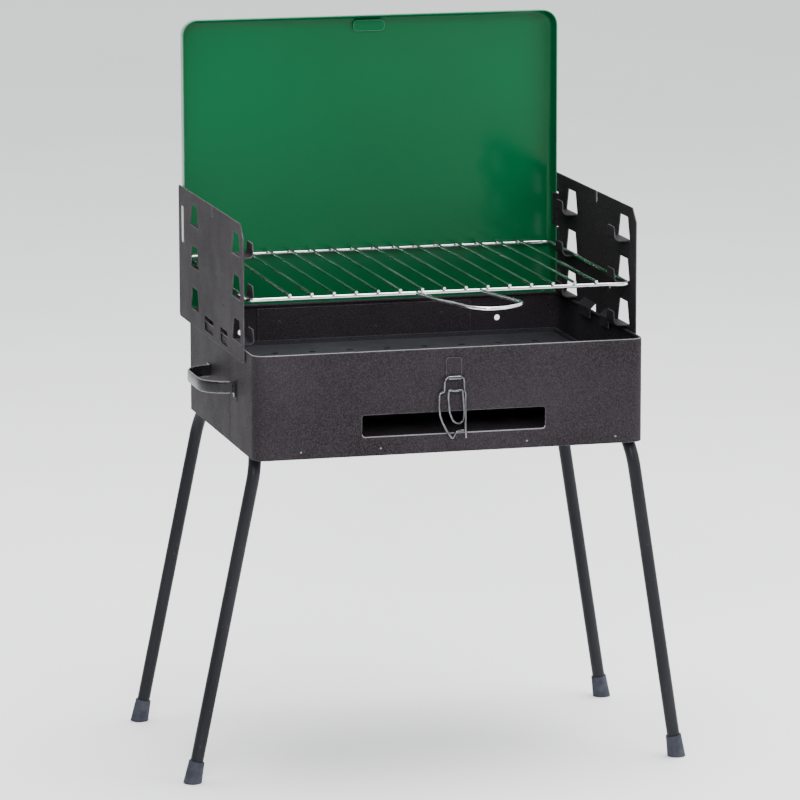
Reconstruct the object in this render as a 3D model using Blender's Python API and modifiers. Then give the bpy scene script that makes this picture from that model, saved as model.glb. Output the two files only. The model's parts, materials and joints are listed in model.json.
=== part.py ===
"""Suitcase charcoal grill on folding tube legs, standing open. Metres, +Z up."""
import math

import bmesh
import bpy
from mathutils import Matrix, Vector

# ---------------------------------------------------------------- driving dimensions
GAP = 0.0003
SHEET = 0.001

RIM_Z = 0.434
BOX_HALF_X = 0.200
BOX_HALF_Y = 0.1525
BOX_HEIGHT = 0.105
BOX_CORNER = 0.013
BOX_BOTTOM_Z = RIM_Z - BOX_HEIGHT
HEM_RADIUS = 0.00155

VENT_LOW_X = -0.091
VENT_HIGH_X = 0.097
VENT_TOP = 0.064
VENT_BOTTOM = 0.0865
VENT_CORNER = 0.0030

FLOOR_RISE = 0.018
FLOOR_FLANGE = 0.012

LID_HALF_X = 0.2006
LID_SHEET = 0.0008
LID_FRONT_Y = 0.1612
LID_BACK_Y = 0.1804
LID_DROP = 0.0095
LID_TOP = 0.2965
LID_CORNER = 0.016
LID_FILLET = 0.005
LID_DRAFT = 0.0012

HINGE_Y = 0.1558
HINGE_DROP = 0.0118
KNUCKLE_RADIUS = 0.0027
PIN_RADIUS = 0.00125
HINGE_X = 0.085
LEAF_HALF = 0.024

PANEL_INNER_X = 0.2011
PANEL_FRONT_Y = -0.1175
PANEL_REAR_Y = 0.182
PANEL_TOP = 0.1245
PANEL_SKIRT = 0.013
PANEL_CHAMFER = 0.013
WINDOW_COLUMNS = {"left": (0.1070, -0.0860), "right": (0.1074, -0.0765)}
WINDOW_ROWS = ((0.0905, 0.1130), (0.0475, 0.0706), (0.0042, 0.0269))
WINDOW_TOP_HALF = 0.0130
WINDOW_BASE_HALF = 0.0199
HOOK_REACH = 0.0135
HOOK_RISE = 0.0135
HOOK_CURL = 0.004

GRATE_HALF_X = 0.1960
GRATE_FRONT_Y = -0.1157
GRATE_REAR_Y = 0.1726
GRATE_CORNER = 0.008
FRAME_WIRE = 0.002
BAR_WIRE = 0.0015
BAR_COUNT = 15
BAR_FIRST_X = -0.155
BAR_PITCH = 0.0225

TRAY_HALF_X = 0.1948
TRAY_HALF_Y = 0.1495
TRAY_DROP = 0.0443
TRAY_LIP = 0.006

LEG_PIVOT_X = 0.1876
LEG_PIVOT_Z = BOX_BOTTOM_Z + 0.007
LEG_RADIUS = 0.0065
LEG_WALL = 0.001
LEG_SPLAY = {"left": math.radians(11.88), "right": math.radians(8.78)}
LEG_ENDS = {"left": (-0.119, 0.143), "right": (-0.143, 0.119)}
LEG_CORNER = 0.035
FOOT_TOP_RADIUS = 0.0079
FOOT_BASE_RADIUS = 0.00925
FOOT_LENGTH = 0.0235
FOOT_SOLE = 0.0055
FOOT_SLICE = 0.0012

LATCH_X = 0.003
LATCH_WIRE = 0.0012
LATCH_Y = -0.1552
LATCH_DROP = 0.0303
LOOP_WIRE = 0.0011
LOOP_Y = -0.1582
LOOP_DROP = 0.0415

CARRY_FRONT_Y = -0.058
CARRY_REAR_Y = 0.042
CARRY_DROP = 0.047
CARRY_HALF_HEIGHT = 0.00565
CARRY_REACH = 0.0295
CARRY_STEPS = 14

# ---------------------------------------------------------------- scene set-up
for leftover in list(bpy.data.objects):
    bpy.data.objects.remove(leftover, do_unlink=True)

parts = bpy.data.collections.new("charbroiler_grill")
tools = bpy.data.collections.new("cutters")
bpy.context.scene.collection.children.link(parts)
bpy.context.scene.collection.children.link(tools)


def make_material(name, colour, metallic, roughness):
    """A plain Principled material with one colour."""
    made = bpy.data.materials.new(name)
    made.use_nodes = True
    shader = made.node_tree.nodes["Principled BSDF"]
    shader.inputs["Base Color"].default_value = (*colour, 1.0)
    shader.inputs["Metallic"].default_value = metallic
    shader.inputs["Roughness"].default_value = roughness
    made.diffuse_color = (*colour, 1.0)
    return made


MATERIALS = {
    "hammered_paint": make_material("hammered_paint", (0.060, 0.055, 0.058), 0.35, 0.50),
    "green_enamel": make_material("green_enamel", (0.010, 0.170, 0.066), 0.05, 0.14),
    "chrome_wire": make_material("chrome_wire", (0.62, 0.63, 0.65), 1.00, 0.14),
    "zinc_wire": make_material("zinc_wire", (0.50, 0.50, 0.50), 1.00, 0.34),
    "leg_paint": make_material("leg_paint", (0.062, 0.062, 0.080), 0.20, 0.38),
    "foot_rubber": make_material("foot_rubber", (0.070, 0.075, 0.100), 0.00, 0.78),
    "tray_steel": make_material("tray_steel", (0.075, 0.085, 0.105), 0.60, 0.48),
    "handle_paint": make_material("handle_paint", (0.030, 0.030, 0.034), 0.10, 0.24),
}


# ---------------------------------------------------------------- helpers
def link_mesh(name, bm):
    """Turn a bmesh into a linked object and free it."""
    mesh = bpy.data.meshes.new(name)
    bm.to_mesh(mesh)
    bm.free()
    made = bpy.data.objects.new(name, mesh)
    parts.objects.link(made)
    return made


def finish(piece, material):
    """Give a visible piece its material."""
    piece.data.materials.clear()
    piece.data.materials.append(MATERIALS[material])
    return piece


def apply_tool(target, tool, operation):
    """Hang a live exact boolean on the target and hide its tool."""
    change = target.modifiers.new(tool.name, "BOOLEAN")
    change.object = tool
    change.operation = operation
    change.solver = "EXACT"
    if tool.name in parts.objects:
        parts.objects.unlink(tool)
        tools.objects.link(tool)
    tool.hide_render = True
    tool.display_type = "WIRE"


def cube_between(low, high):
    """A bmesh box between two corners."""
    bm = bmesh.new()
    bmesh.ops.create_cube(bm, size=1.0)
    for vert in bm.verts:
        for axis in range(3):
            vert.co[axis] = low[axis] if vert.co[axis] < 0 else high[axis]
    return bm


def round_edges_along(bm, axis, radius, segments):
    """Round every edge that runs along one axis."""
    chosen = []
    for edge in bm.edges:
        run = edge.verts[0].co - edge.verts[1].co
        if abs(run[axis]) > 0.9 * run.length:
            chosen.append(edge)
    bmesh.ops.bevel(bm, geom=chosen, offset=radius, offset_type="OFFSET",
                    segments=segments, profile=0.5, affect="EDGES")


def block(name, low, high, radius=0.0, axis=2, segments=4):
    """A box, with its edges along one axis rounded if a radius is given."""
    bm = cube_between(low, high)
    if radius > 0:
        round_edges_along(bm, axis, radius, segments)
    return link_mesh(name, bm)


def drop_faces(bm, direction):
    """Delete the faces that look along a direction."""
    bm.normal_update()
    facing = [face for face in bm.faces if face.normal.dot(Vector(direction)) > 0.999]
    bmesh.ops.delete(bm, geom=facing, context="FACES")


def thicken(piece, thickness, offset):
    """Solidify an open surface; offset -1 grows inward, 0 both ways."""
    solid = piece.modifiers.new("thickness", "SOLIDIFY")
    solid.thickness = thickness
    solid.offset = offset
    solid.use_even_offset = True


def cylinder(name, centre, axis, radius, length, sides=12, radius_far=None):
    """A capped cylinder or cone centred on a point and lying along an axis."""
    bm = bmesh.new()
    far = radius if radius_far is None else radius_far
    bmesh.ops.create_cone(bm, cap_ends=True, cap_tris=False, segments=sides,
                          radius1=radius, radius2=far, depth=length)
    turn = Vector((0, 0, 1)).rotation_difference(Vector(axis)).to_matrix().to_4x4()
    bmesh.ops.transform(bm, matrix=Matrix.Translation(Vector(centre)) @ turn, verts=bm.verts)
    return link_mesh(name, bm)


def wire(name, points, radius, closed=False, resolution=2):
    """A round wire or rod through points, as a mesh."""
    curve = bpy.data.curves.new(name, "CURVE")
    curve.dimensions = "3D"
    curve.bevel_depth = radius
    curve.bevel_resolution = resolution
    curve.use_fill_caps = not closed
    spline = curve.splines.new("POLY")
    spline.points.add(len(points) - 1)
    for slot, point in zip(spline.points, points):
        slot.co = (*point, 1.0)
    spline.use_cyclic_u = closed
    holder = bpy.data.objects.new(name + "_path", curve)
    bpy.context.scene.collection.objects.link(holder)
    bpy.context.view_layer.update()
    mesh = bpy.data.meshes.new_from_object(holder)
    bpy.data.objects.remove(holder, do_unlink=True)
    bm = bmesh.new()
    bm.from_mesh(mesh)
    bpy.data.meshes.remove(mesh)
    bmesh.ops.remove_doubles(bm, verts=bm.verts, dist=0.00001)
    bmesh.ops.recalc_face_normals(bm, faces=bm.faces)
    return link_mesh(name, bm)


def arc(centre, radius, start, stop, steps):
    """Points on an arc in a plane, angles in degrees."""
    points = []
    for step in range(steps + 1):
        angle = math.radians(start + (stop - start) * step / steps)
        points.append((centre[0] + radius * math.cos(angle),
                       centre[1] + radius * math.sin(angle)))
    return points


def soften(points, radius, steps=3):
    """Round the corners of a 3D path, ends kept."""
    path = [Vector(point) for point in points]
    result = [path[0]]
    for before, corner, after in zip(path, path[1:], path[2:]):
        reach = min(radius, 0.45 * (before - corner).length, 0.45 * (after - corner).length)
        start = corner + (before - corner).normalized() * reach
        stop = corner + (after - corner).normalized() * reach
        for step in range(steps + 1):
            t = step / steps
            result.append(start * (1 - t) ** 2 + corner * 2 * t * (1 - t) + stop * t ** 2)
    result.append(path[-1])
    return result


def sheet(name, across, profile, place, thickness):
    """A bent strip of sheet metal: a grid laid along a profile, then thickened."""
    steps = len(profile) - 1
    bm = bmesh.new()
    bmesh.ops.create_grid(bm, x_segments=steps, y_segments=across, size=0.5)
    for vert in bm.verts:
        step = round((vert.co.x + 0.5) * steps)
        vert.co = place(profile[step], step / steps, vert.co.y + 0.5)
    made = link_mesh(name, bm)
    thicken(made, thickness, 0.0)
    return made


def ring_path(half_x, low_y, high_y, corner, z, steps):
    """A rounded rectangle path lying flat."""
    points = []
    for cx, cy, start in ((half_x - corner, high_y - corner, 0),
                          (corner - half_x, high_y - corner, 90),
                          (corner - half_x, low_y + corner, 180),
                          (half_x - corner, low_y + corner, 270)):
        points.extend((x, y, z) for x, y in arc((cx, cy), corner, start, start + 90, steps))
    return points


# ---------------------------------------------------------------- box
def build_box_wall():
    """Four-sided wall with rounded corners, a rolled rim and a front vent slot."""
    inset = HEM_RADIUS + 0.00005
    bm = cube_between((-BOX_HALF_X, -BOX_HALF_Y, BOX_BOTTOM_Z),
                      (BOX_HALF_X, BOX_HALF_Y, RIM_Z - HEM_RADIUS))
    round_edges_along(bm, 2, BOX_CORNER, 5)
    drop_faces(bm, (0, 0, 1))
    drop_faces(bm, (0, 0, -1))
    wall = link_mesh("box_wall", bm)
    thicken(wall, SHEET, -1.0)
    hem = wire("rim_hem", ring_path(BOX_HALF_X - inset, inset - BOX_HALF_Y, BOX_HALF_Y - inset,
                                    BOX_CORNER - inset, RIM_Z - HEM_RADIUS, 5),
               HEM_RADIUS, closed=True)
    apply_tool(wall, hem, "UNION")
    reach = 0.004
    vent = block("vent_cutter", (VENT_LOW_X, -BOX_HALF_Y - reach, RIM_Z - VENT_BOTTOM),
                 (VENT_HIGH_X, reach - BOX_HALF_Y, RIM_Z - VENT_TOP), VENT_CORNER, 1, 4)
    apply_tool(wall, vent, "DIFFERENCE")
    for number, (x, drop) in enumerate(((0.1325, 0.0255), (-0.1440, 0.0290))):
        hole = cylinder(f"rear_hole_cutter_{number}", (x, BOX_HALF_Y, RIM_Z - drop),
                        (0, 1, 0), 0.003, 0.008)
        apply_tool(wall, hole, "DIFFERENCE")
    return finish(wall, "hammered_paint")


def build_floor_pan():
    """Raised floor with a flange turned down all round."""
    clear = SHEET + GAP
    top = BOX_BOTTOM_Z + FLOOR_RISE + SHEET
    bm = cube_between((clear - BOX_HALF_X, clear - BOX_HALF_Y, top - FLOOR_FLANGE),
                      (BOX_HALF_X - clear, BOX_HALF_Y - clear, top))
    round_edges_along(bm, 2, BOX_CORNER - clear, 4)
    drop_faces(bm, (0, 0, -1))
    pan = link_mesh("floor_pan", bm)
    thicken(pan, SHEET, -1.0)
    return finish(pan, "hammered_paint")


def build_rails():
    """Two angle strips on the side walls that carry the charcoal tray."""
    web_x = BOX_HALF_X - SHEET - GAP - SHEET / 2
    shelf_z = RIM_Z - TRAY_DROP - GAP - SHEET / 2
    for side, sign in (("left", -1), ("right", 1)):
        profile = [(web_x, shelf_z - 0.012), (web_x, shelf_z), (web_x - 0.010, shelf_z)]
        rail = sheet(f"tray_rail_{side}", 1, profile,
                     lambda point, u, v: Vector((sign * point[0], 0.240 * (v - 0.5), point[1])),
                     SHEET)
        finish(rail, "hammered_paint")


def build_tray():
    """Shallow perforated charcoal tray."""
    base = RIM_Z - TRAY_DROP
    bm = cube_between((-TRAY_HALF_X, -TRAY_HALF_Y, base), (TRAY_HALF_X, TRAY_HALF_Y, base + TRAY_LIP))
    round_edges_along(bm, 2, 0.010, 3)
    drop_faces(bm, (0, 0, 1))
    tray = link_mesh("charcoal_tray", bm)
    thicken(tray, SHEET, -1.0)
    columns = 9
    rows = 4
    bm = bmesh.new()
    for column in range(columns):
        for row in range(rows):
            x = (column - (columns - 1) / 2) * 0.040
            y = (row - (rows - 1) / 2) * 0.068
            spot = Matrix.Translation((x, y, base))
            bmesh.ops.create_cone(bm, cap_ends=True, segments=8, radius1=0.0045,
                                  radius2=0.0045, depth=0.006, matrix=spot)
    apply_tool(tray, link_mesh("tray_hole_cutters", bm), "DIFFERENCE")
    return finish(tray, "tray_steel")


def build_rear_plate():
    """Wind plate on the inside of the rear wall, with three rivet domes."""
    face = BOX_HALF_Y - SHEET - GAP
    plate = block("rear_plate", (-0.126, face - SHEET, RIM_Z - 0.043),
                  (0.103, face, RIM_Z - 0.005))
    for number, (x, drop) in enumerate(((-0.103, 0.020), (0.0, 0.0295), (0.072, 0.018))):
        dome = cylinder(f"rear_dome_{number}", (x, face - SHEET, RIM_Z - drop), (0, 1, 0),
                        0.0015, 0.0012, 10, 0.0030)
        apply_tool(plate, dome, "UNION")
    return finish(plate, "hammered_paint")


# ---------------------------------------------------------------- lid and hinges
def build_lid():
    """Shallow pressed pan standing on its rear hinges, open face forward."""
    low = RIM_Z - LID_DROP
    high = RIM_Z + LID_TOP
    bm = cube_between((-LID_HALF_X, LID_FRONT_Y, low), (LID_HALF_X, LID_BACK_Y, high))
    middle = (low + high) / 2
    for vert in bm.verts:
        if vert.co.y > (LID_FRONT_Y + LID_BACK_Y) / 2:
            vert.co.x -= math.copysign(LID_DRAFT, vert.co.x)
            vert.co.z -= math.copysign(LID_DRAFT, vert.co.z - middle)
    round_edges_along(bm, 1, LID_CORNER, 6)
    bm.normal_update()
    back = [face for face in bm.faces if face.normal.y > 0.999]
    bmesh.ops.bevel(bm, geom=list(back[0].edges), offset=LID_FILLET, offset_type="OFFSET",
                    segments=3, profile=0.5, affect="EDGES")
    drop_faces(bm, (0, -1, 0))
    lid = link_mesh("lid_pan", bm)
    thicken(lid, LID_SHEET, -1.0)
    finish(lid, "green_enamel")
    inner = LID_BACK_Y - LID_SHEET - GAP
    catch = block("lid_catch", (-0.016, inner - 0.0032, RIM_Z + 0.2785),
                  (0.0176, inner, RIM_Z + 0.2900), 0.0050, 1, 4)
    return finish(catch, "green_enamel")


def build_hinges():
    """Two three-knuckle hinges: a leaf on the box, a leaf under the lid and a pin."""
    pin_z = RIM_Z - HINGE_DROP
    knuckle_half = 0.008
    leaf_inner = BOX_HALF_Y + GAP
    bore_radius = PIN_RADIUS + 0.00010
    for side, x in (("left", -HINGE_X), ("right", HINGE_X)):
        box_leaf = block(f"hinge_box_leaf_{side}", (x - LEAF_HALF, leaf_inner, pin_z - 0.022),
                         (x + LEAF_HALF, leaf_inner + SHEET, pin_z - 0.0035), 0.003, 1, 2)
        riser = block(f"hinge_riser_{side}",
                      (x - knuckle_half + 0.0004, leaf_inner + 0.0001, pin_z - 0.006),
                      (x + knuckle_half - 0.0004, leaf_inner + 0.0009, pin_z - 0.0008))
        apply_tool(box_leaf, riser, "UNION")
        barrel = cylinder(f"hinge_box_knuckle_{side}", (x, HINGE_Y, pin_z), (1, 0, 0),
                          KNUCKLE_RADIUS, 2 * knuckle_half, 14)
        apply_tool(box_leaf, barrel, "UNION")
        bore = cylinder(f"hinge_bore_{side}", (x, HINGE_Y, pin_z), (1, 0, 0),
                        bore_radius, 0.060, 12)
        apply_tool(box_leaf, bore, "DIFFERENCE")
        finish(box_leaf, "hammered_paint")

        leaf_top = RIM_Z - LID_DROP - GAP
        lid_leaf = block(f"hinge_lid_leaf_{side}", (x - LEAF_HALF, HINGE_Y + 0.0017, leaf_top - SHEET),
                         (x + LEAF_HALF, LID_BACK_Y - 0.008, leaf_top))
        notch = block(f"hinge_notch_{side}", (x - knuckle_half - GAP, HINGE_Y - 0.002, leaf_top - 0.003),
                      (x + knuckle_half + GAP, HINGE_Y + KNUCKLE_RADIUS + GAP, leaf_top + 0.001))
        apply_tool(lid_leaf, notch, "DIFFERENCE")
        outer = LEAF_HALF - 0.0006
        inner = knuckle_half + GAP
        for number, sign in enumerate((-1, 1)):
            knuckle = cylinder(f"hinge_lid_knuckle_{side}_{number}",
                               (x + sign * (outer + inner) / 2, HINGE_Y, pin_z), (1, 0, 0),
                               KNUCKLE_RADIUS, outer - inner, 14)
            apply_tool(lid_leaf, knuckle, "UNION")
        apply_tool(lid_leaf, bore, "DIFFERENCE")
        finish(lid_leaf, "hammered_paint")

        pin = cylinder(f"hinge_pin_{side}", (x, HINGE_Y, pin_z), (1, 0, 0),
                       PIN_RADIUS, 0.0500, 12)
        for number, sign in enumerate((-1, 1)):
            head = cylinder(f"hinge_pin_head_{side}_{number}",
                            (x + sign * 0.0247, HINGE_Y, pin_z), (sign, 0, 0),
                            0.0021, 0.0012, 12, 0.0014)
            apply_tool(pin, head, "UNION")
        finish(pin, "zinc_wire")


# ---------------------------------------------------------------- side panels
def build_panel(side, sign):
    """Side panel with six hooked windows, a lid tongue and two rim tongues."""
    inner = PANEL_INNER_X
    outer = PANEL_INNER_X + SHEET
    mid = (inner + outer) / 2
    near, far = sorted((sign * inner, sign * outer))

    bm = cube_between((near, PANEL_FRONT_Y, RIM_Z - PANEL_SKIRT),
                      (far, PANEL_REAR_Y, RIM_Z + PANEL_TOP))
    front_top = []
    others = []
    for edge in bm.edges:
        run = edge.verts[0].co - edge.verts[1].co
        if abs(run.x) < 0.9 * run.length:
            continue
        spot = edge.verts[0].co
        if spot.y < 0 and spot.z > RIM_Z:
            front_top.append(edge)
        else:
            others.append(edge)
    bmesh.ops.bevel(bm, geom=front_top, offset=PANEL_CHAMFER, offset_type="OFFSET",
                    segments=1, profile=0.5, affect="EDGES")
    others = [edge for edge in others if edge.is_valid]
    bmesh.ops.bevel(bm, geom=others, offset=0.004, offset_type="OFFSET",
                    segments=2, profile=0.5, affect="EDGES")
    panel = link_mesh(f"side_panel_{side}", bm)

    cut_low, cut_high = sorted((sign * (inner - 0.003), sign * (outer + 0.003)))
    rows = bmesh.new()
    for centre in WINDOW_COLUMNS[side]:
        for low, high in WINDOW_ROWS:
            made = bmesh.ops.create_cube(rows, size=1.0)
            for vert in made["verts"]:
                upper = vert.co.z > 0
                half = WINDOW_TOP_HALF if upper else WINDOW_BASE_HALF
                vert.co.x = cut_low if vert.co.x < 0 else cut_high
                vert.co.y = centre + math.copysign(half, vert.co.y)
                vert.co.z = RIM_Z + (high if upper else low)
    apply_tool(panel, link_mesh(f"window_cutters_{side}", rows), "DIFFERENCE")

    slots = (
        ("notch", 0.0172, 0.0209, 0.1128, 0.1400, 0.0018),
        ("lid_slot", 0.1570, 0.1712, 0.0665, 0.1045, 0.0020),
        ("rim_slot_rear", 0.0200, 0.0635, -0.0090, 0.0075, 0.0020),
        ("rim_slot_front", -0.0445, -0.0110, -0.0090, 0.0075, 0.0020),
    )
    for name, low_y, high_y, low_z, high_z, corner in slots:
        slot = block(f"{name}_cutter_{side}", (cut_low, low_y, RIM_Z + low_z),
                     (cut_high, high_y, RIM_Z + high_z), corner, 0, 3)
        apply_tool(panel, slot, "DIFFERENCE")
    mark = cylinder(f"mark_cutter_{side}", (sign * mid, -0.028, RIM_Z + 0.032), (1, 0, 0),
                    0.002, 0.008, 10)
    apply_tool(panel, mark, "DIFFERENCE")

    number = 0
    for centre in WINDOW_COLUMNS[side]:
        for low, high in WINDOW_ROWS:
            trough = RIM_Z + low - 0.0008
            upright = inner - HOOK_REACH
            bend = arc((upright + HOOK_CURL, trough + HOOK_CURL), HOOK_CURL, 270, 180, 3)
            profile = [(mid, trough)] + bend
            profile += [(upright, trough + HOOK_RISE - 0.003), (upright, trough + HOOK_RISE)]
            halves = [0.0192, 0.0158, 0.0152, 0.0146, 0.0140, 0.0128, 0.0100]

            def place(point, u, v, centre=centre, halves=halves):
                half = halves[round(u * (len(halves) - 1))]
                return Vector((sign * point[0], centre + (2 * v - 1) * half, point[1]))

            hook = sheet(f"hook_{side}_{number}", 1, profile, place, SHEET)
            apply_tool(panel, hook, "UNION")
            number += 1

    lid_tongue = sheet(
        f"lid_tongue_{side}", 1,
        [(mid, 0.1555), (mid - 0.0009, 0.1572), (mid - 0.0028, 0.1604), (mid - 0.0028, 0.1700)],
        lambda point, u, v: Vector((sign * point[0], point[1], RIM_Z + 0.0680 + 0.035 * v)),
        SHEET * 0.9)
    apply_tool(panel, lid_tongue, "UNION")
    tongue_x = BOX_HALF_X - 2 * HEM_RADIUS - 0.0011
    for name, low_y, high_y in (("rear", 0.0215, 0.0620), ("front", -0.0430, -0.0125)):
        tongue = sheet(
            f"rim_tongue_{name}_{side}", 1,
            [(mid, 0.0090), (mid - 0.0002, 0.0070), (tongue_x, 0.0016), (tongue_x, -0.0080)],
            lambda point, u, v, a=low_y, b=high_y: Vector(
                (sign * point[0], a + (b - a) * v, RIM_Z + point[1])),
            SHEET * 0.9)
        apply_tool(panel, tongue, "UNION")
    return finish(panel, "hammered_paint")


# ---------------------------------------------------------------- cooking grate
GRATE_Z = RIM_Z + WINDOW_ROWS[1][0] - 0.0008 + SHEET / 2 + FRAME_WIRE + GAP


def build_grate():
    """Wire rim, straight bars across it and a loop handle at the front."""
    frame = wire("grate_frame", ring_path(GRATE_HALF_X, GRATE_FRONT_Y, GRATE_REAR_Y,
                                          GRATE_CORNER, GRATE_Z, 4), FRAME_WIRE, closed=True)
    finish(frame, "chrome_wire")
    bar_z = GRATE_Z + FRAME_WIRE + BAR_WIRE + GAP
    front = GRATE_FRONT_Y - 0.0025
    rear = GRATE_REAR_Y + 0.0025
    for number in range(BAR_COUNT):
        x = BAR_FIRST_X + number * BAR_PITCH
        bar = cylinder(f"grate_bar_{number + 1:02d}", (x, (front + rear) / 2, bar_z), (0, 1, 0),
                       BAR_WIRE, rear - front, 8)
        finish(bar, "chrome_wire")
    start = GRATE_FRONT_Y - FRAME_WIRE - GAP
    outline = [(-0.0255, start), (-0.0240, -0.126), (-0.0170, -0.165), (-0.0045, -0.193),
               (0.0010, -0.215), (0.0170, -0.2295), (0.0360, -0.2260), (0.0530, -0.2140),
               (0.0595, -0.2020), (0.0500, -0.166), (0.0420, -0.138), (0.0400, start)]
    path = soften([(x, y, GRATE_Z + 0.0005) for x, y in outline], 0.007, 2)
    return finish(wire("grate_handle", path, 0.0018), "chrome_wire")


# ---------------------------------------------------------------- legs
def build_leg(side, sign):
    """Folding tube frame with two rubber feet."""
    splay = LEG_SPLAY[side]
    pivot = Vector((sign * LEG_PIVOT_X, 0, LEG_PIVOT_Z))
    down = Vector((sign * math.sin(splay), 0, -math.cos(splay)))
    drop = LEG_PIVOT_Z + FOOT_SLICE
    reach = drop / math.cos(splay)
    end = reach - FOOT_SOLE - GAP
    low_y, high_y = LEG_ENDS[side]

    flat = [(end, low_y)]
    flat += [(x, y) for x, y in arc((LEG_CORNER, low_y + LEG_CORNER), LEG_CORNER, 270, 180, 5)]
    flat += [(x, y) for x, y in arc((LEG_CORNER, high_y - LEG_CORNER), LEG_CORNER, 180, 90, 5)]
    flat += [(end, high_y)]
    path = [pivot + down * along + Vector((0, y, 0)) for along, y in flat]
    frame = wire(f"leg_frame_{side}", path, LEG_RADIUS, resolution=4)
    longer = list(path)
    longer[0] = path[0] + down * 0.002
    longer[-1] = path[-1] + down * 0.002
    core = wire(f"leg_core_{side}", longer, LEG_RADIUS - LEG_WALL, resolution=3)
    apply_tool(frame, core, "DIFFERENCE")
    finish(frame, "leg_paint")

    floor_cutter = block(f"floor_cutter_{side}", (-0.35, -0.25, -0.03), (0.35, 0.25, 0.0))
    for name, y in (("front", low_y), ("rear", high_y)):
        tip = pivot + down * reach + Vector((0, y, 0))
        centre = tip - down * (FOOT_LENGTH / 2)
        foot = cylinder(f"foot_{side}_{name}", centre, down, FOOT_TOP_RADIUS, FOOT_LENGTH, 16,
                        FOOT_BASE_RADIUS)
        bore = cylinder(f"foot_bore_{side}_{name}", tip - down * (FOOT_SOLE + 0.020), down,
                        LEG_RADIUS + GAP, 0.040, 16)
        apply_tool(foot, bore, "DIFFERENCE")
        apply_tool(foot, floor_cutter, "DIFFERENCE")
        finish(foot, "foot_rubber")


def build_clips():
    """Four saddle clips under the floor pan that hold the pivot bars."""
    hold = LEG_RADIUS + 0.0003 + SHEET / 2
    top = BOX_BOTTOM_Z + FLOOR_RISE - GAP - SHEET / 2
    for side, sign in (("left", -1), ("right", 1)):
        for name, y in (("front", -0.060), ("rear", 0.060)):
            saddle = arc((LEG_PIVOT_X, LEG_PIVOT_Z), hold, 180, 360, 6)
            profile = [(LEG_PIVOT_X - hold - 0.011, top), (LEG_PIVOT_X - hold, top)] + saddle
            profile += [(LEG_PIVOT_X + hold, top)]
            clip = sheet(f"leg_clip_{side}_{name}", 1, profile,
                         lambda point, u, v: Vector(
                             (sign * point[0], y + 0.014 * (v - 0.5), point[1])), SHEET)
            finish(clip, "hammered_paint")


# ---------------------------------------------------------------- latch and carry handle
def build_latch():
    """Bracket on the front wall, a swinging wire lever and the wire loop on it."""
    pivot_z = RIM_Z - LATCH_DROP
    face = -BOX_HALF_Y - GAP
    bracket = block("latch_bracket", (LATCH_X - 0.0085, face - SHEET, pivot_z + 0.0005),
                    (LATCH_X + 0.0075, face, RIM_Z - 0.010), 0.0020, 1, 2)
    curl = cylinder("latch_curl", (LATCH_X - 0.0003, LATCH_Y, pivot_z), (1, 0, 0), 0.0023, 0.0120, 12)
    apply_tool(bracket, curl, "UNION")
    bore = cylinder("latch_bore", (LATCH_X, LATCH_Y, pivot_z), (1, 0, 0), 0.00145, 0.0200, 12)
    apply_tool(bracket, bore, "DIFFERENCE")
    finish(bracket, "hammered_paint")

    lever = [(0.0146, 0.0912), (0.0139, 0.0840), (0.0139, 0.0460), (0.0127, 0.0440),
             (0.0127, 0.0330), (0.0110, LATCH_DROP), (-0.0055, LATCH_DROP), (-0.0075, 0.0330),
             (-0.0075, 0.0440), (-0.0127, 0.0455), (-0.0130, 0.0590), (-0.0120, 0.0680),
             (-0.0095, 0.0750), (-0.0055, 0.0830), (-0.0020, 0.0885), (0.0005, 0.0916),
             (0.0032, 0.0865), (0.0055, 0.0838), (0.0122, 0.0836)]
    path = soften([(x, LATCH_Y, RIM_Z - drop) for x, drop in lever], 0.0018, 2)
    finish(wire("latch_lever", path, LATCH_WIRE), "zinc_wire")

    loop = [(0.0101, 0.0420), (0.0030, 0.0432), (-0.0042, 0.0420), (-0.0045, 0.0500),
            (-0.0030, 0.0650), (0.0005, 0.0735), (0.0060, 0.0762), (0.0105, 0.0735),
            (0.0118, 0.0650), (0.0108, 0.0500)]
    path = [Vector((x, LOOP_Y, RIM_Z - drop)) for x, drop in loop]
    ends = [(path[0] + path[-1]) / 2]
    rounded = soften(ends + path + ends, 0.0022, 2)
    return finish(wire("latch_loop", rounded[:-1], LOOP_WIRE, closed=True), "zinc_wire")


def build_carry_handle():
    """Bowed strap handle with turned edges on the left wall."""
    wall = -BOX_HALF_X - GAP - SHEET / 2
    middle = (CARRY_FRONT_Y + CARRY_REAR_Y) / 2
    half = (CARRY_REAR_Y - CARRY_FRONT_Y) / 2
    bow = [(0.0, CARRY_FRONT_Y - 0.014)]
    for step in range(CARRY_STEPS + 1):
        along = math.sin(math.pi * (step / CARRY_STEPS - 0.5))
        out = CARRY_REACH * max(0.0, 1.0 - abs(along) ** 5) ** 0.7
        bow.append((out, middle + half * along))
    bow.append((0.0, CARRY_REAR_Y + 0.014))
    section = ((-1.0, 0.0016), (-0.88, 0.0004), (-0.60, 0.0), (0.60, 0.0), (0.88, 0.0004), (1.0, 0.0016))

    def place(point, u, v):
        height, tuck = section[round(v * (len(section) - 1))]
        inward = tuck * min(1.0, point[0] / 0.020)
        return Vector((wall - point[0] + inward, point[1],
                       RIM_Z - CARRY_DROP + height * CARRY_HALF_HEIGHT))

    strap = sheet("carry_handle", len(section) - 1, bow, place, SHEET)
    return finish(strap, "handle_paint")


build_box_wall()
build_floor_pan()
build_rails()
build_tray()
build_rear_plate()
build_lid()
build_hinges()
build_panel("left", -1)
build_panel("right", 1)
build_grate()
build_leg("left", -1)
build_leg("right", 1)
build_clips()
build_latch()
build_carry_handle()

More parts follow.
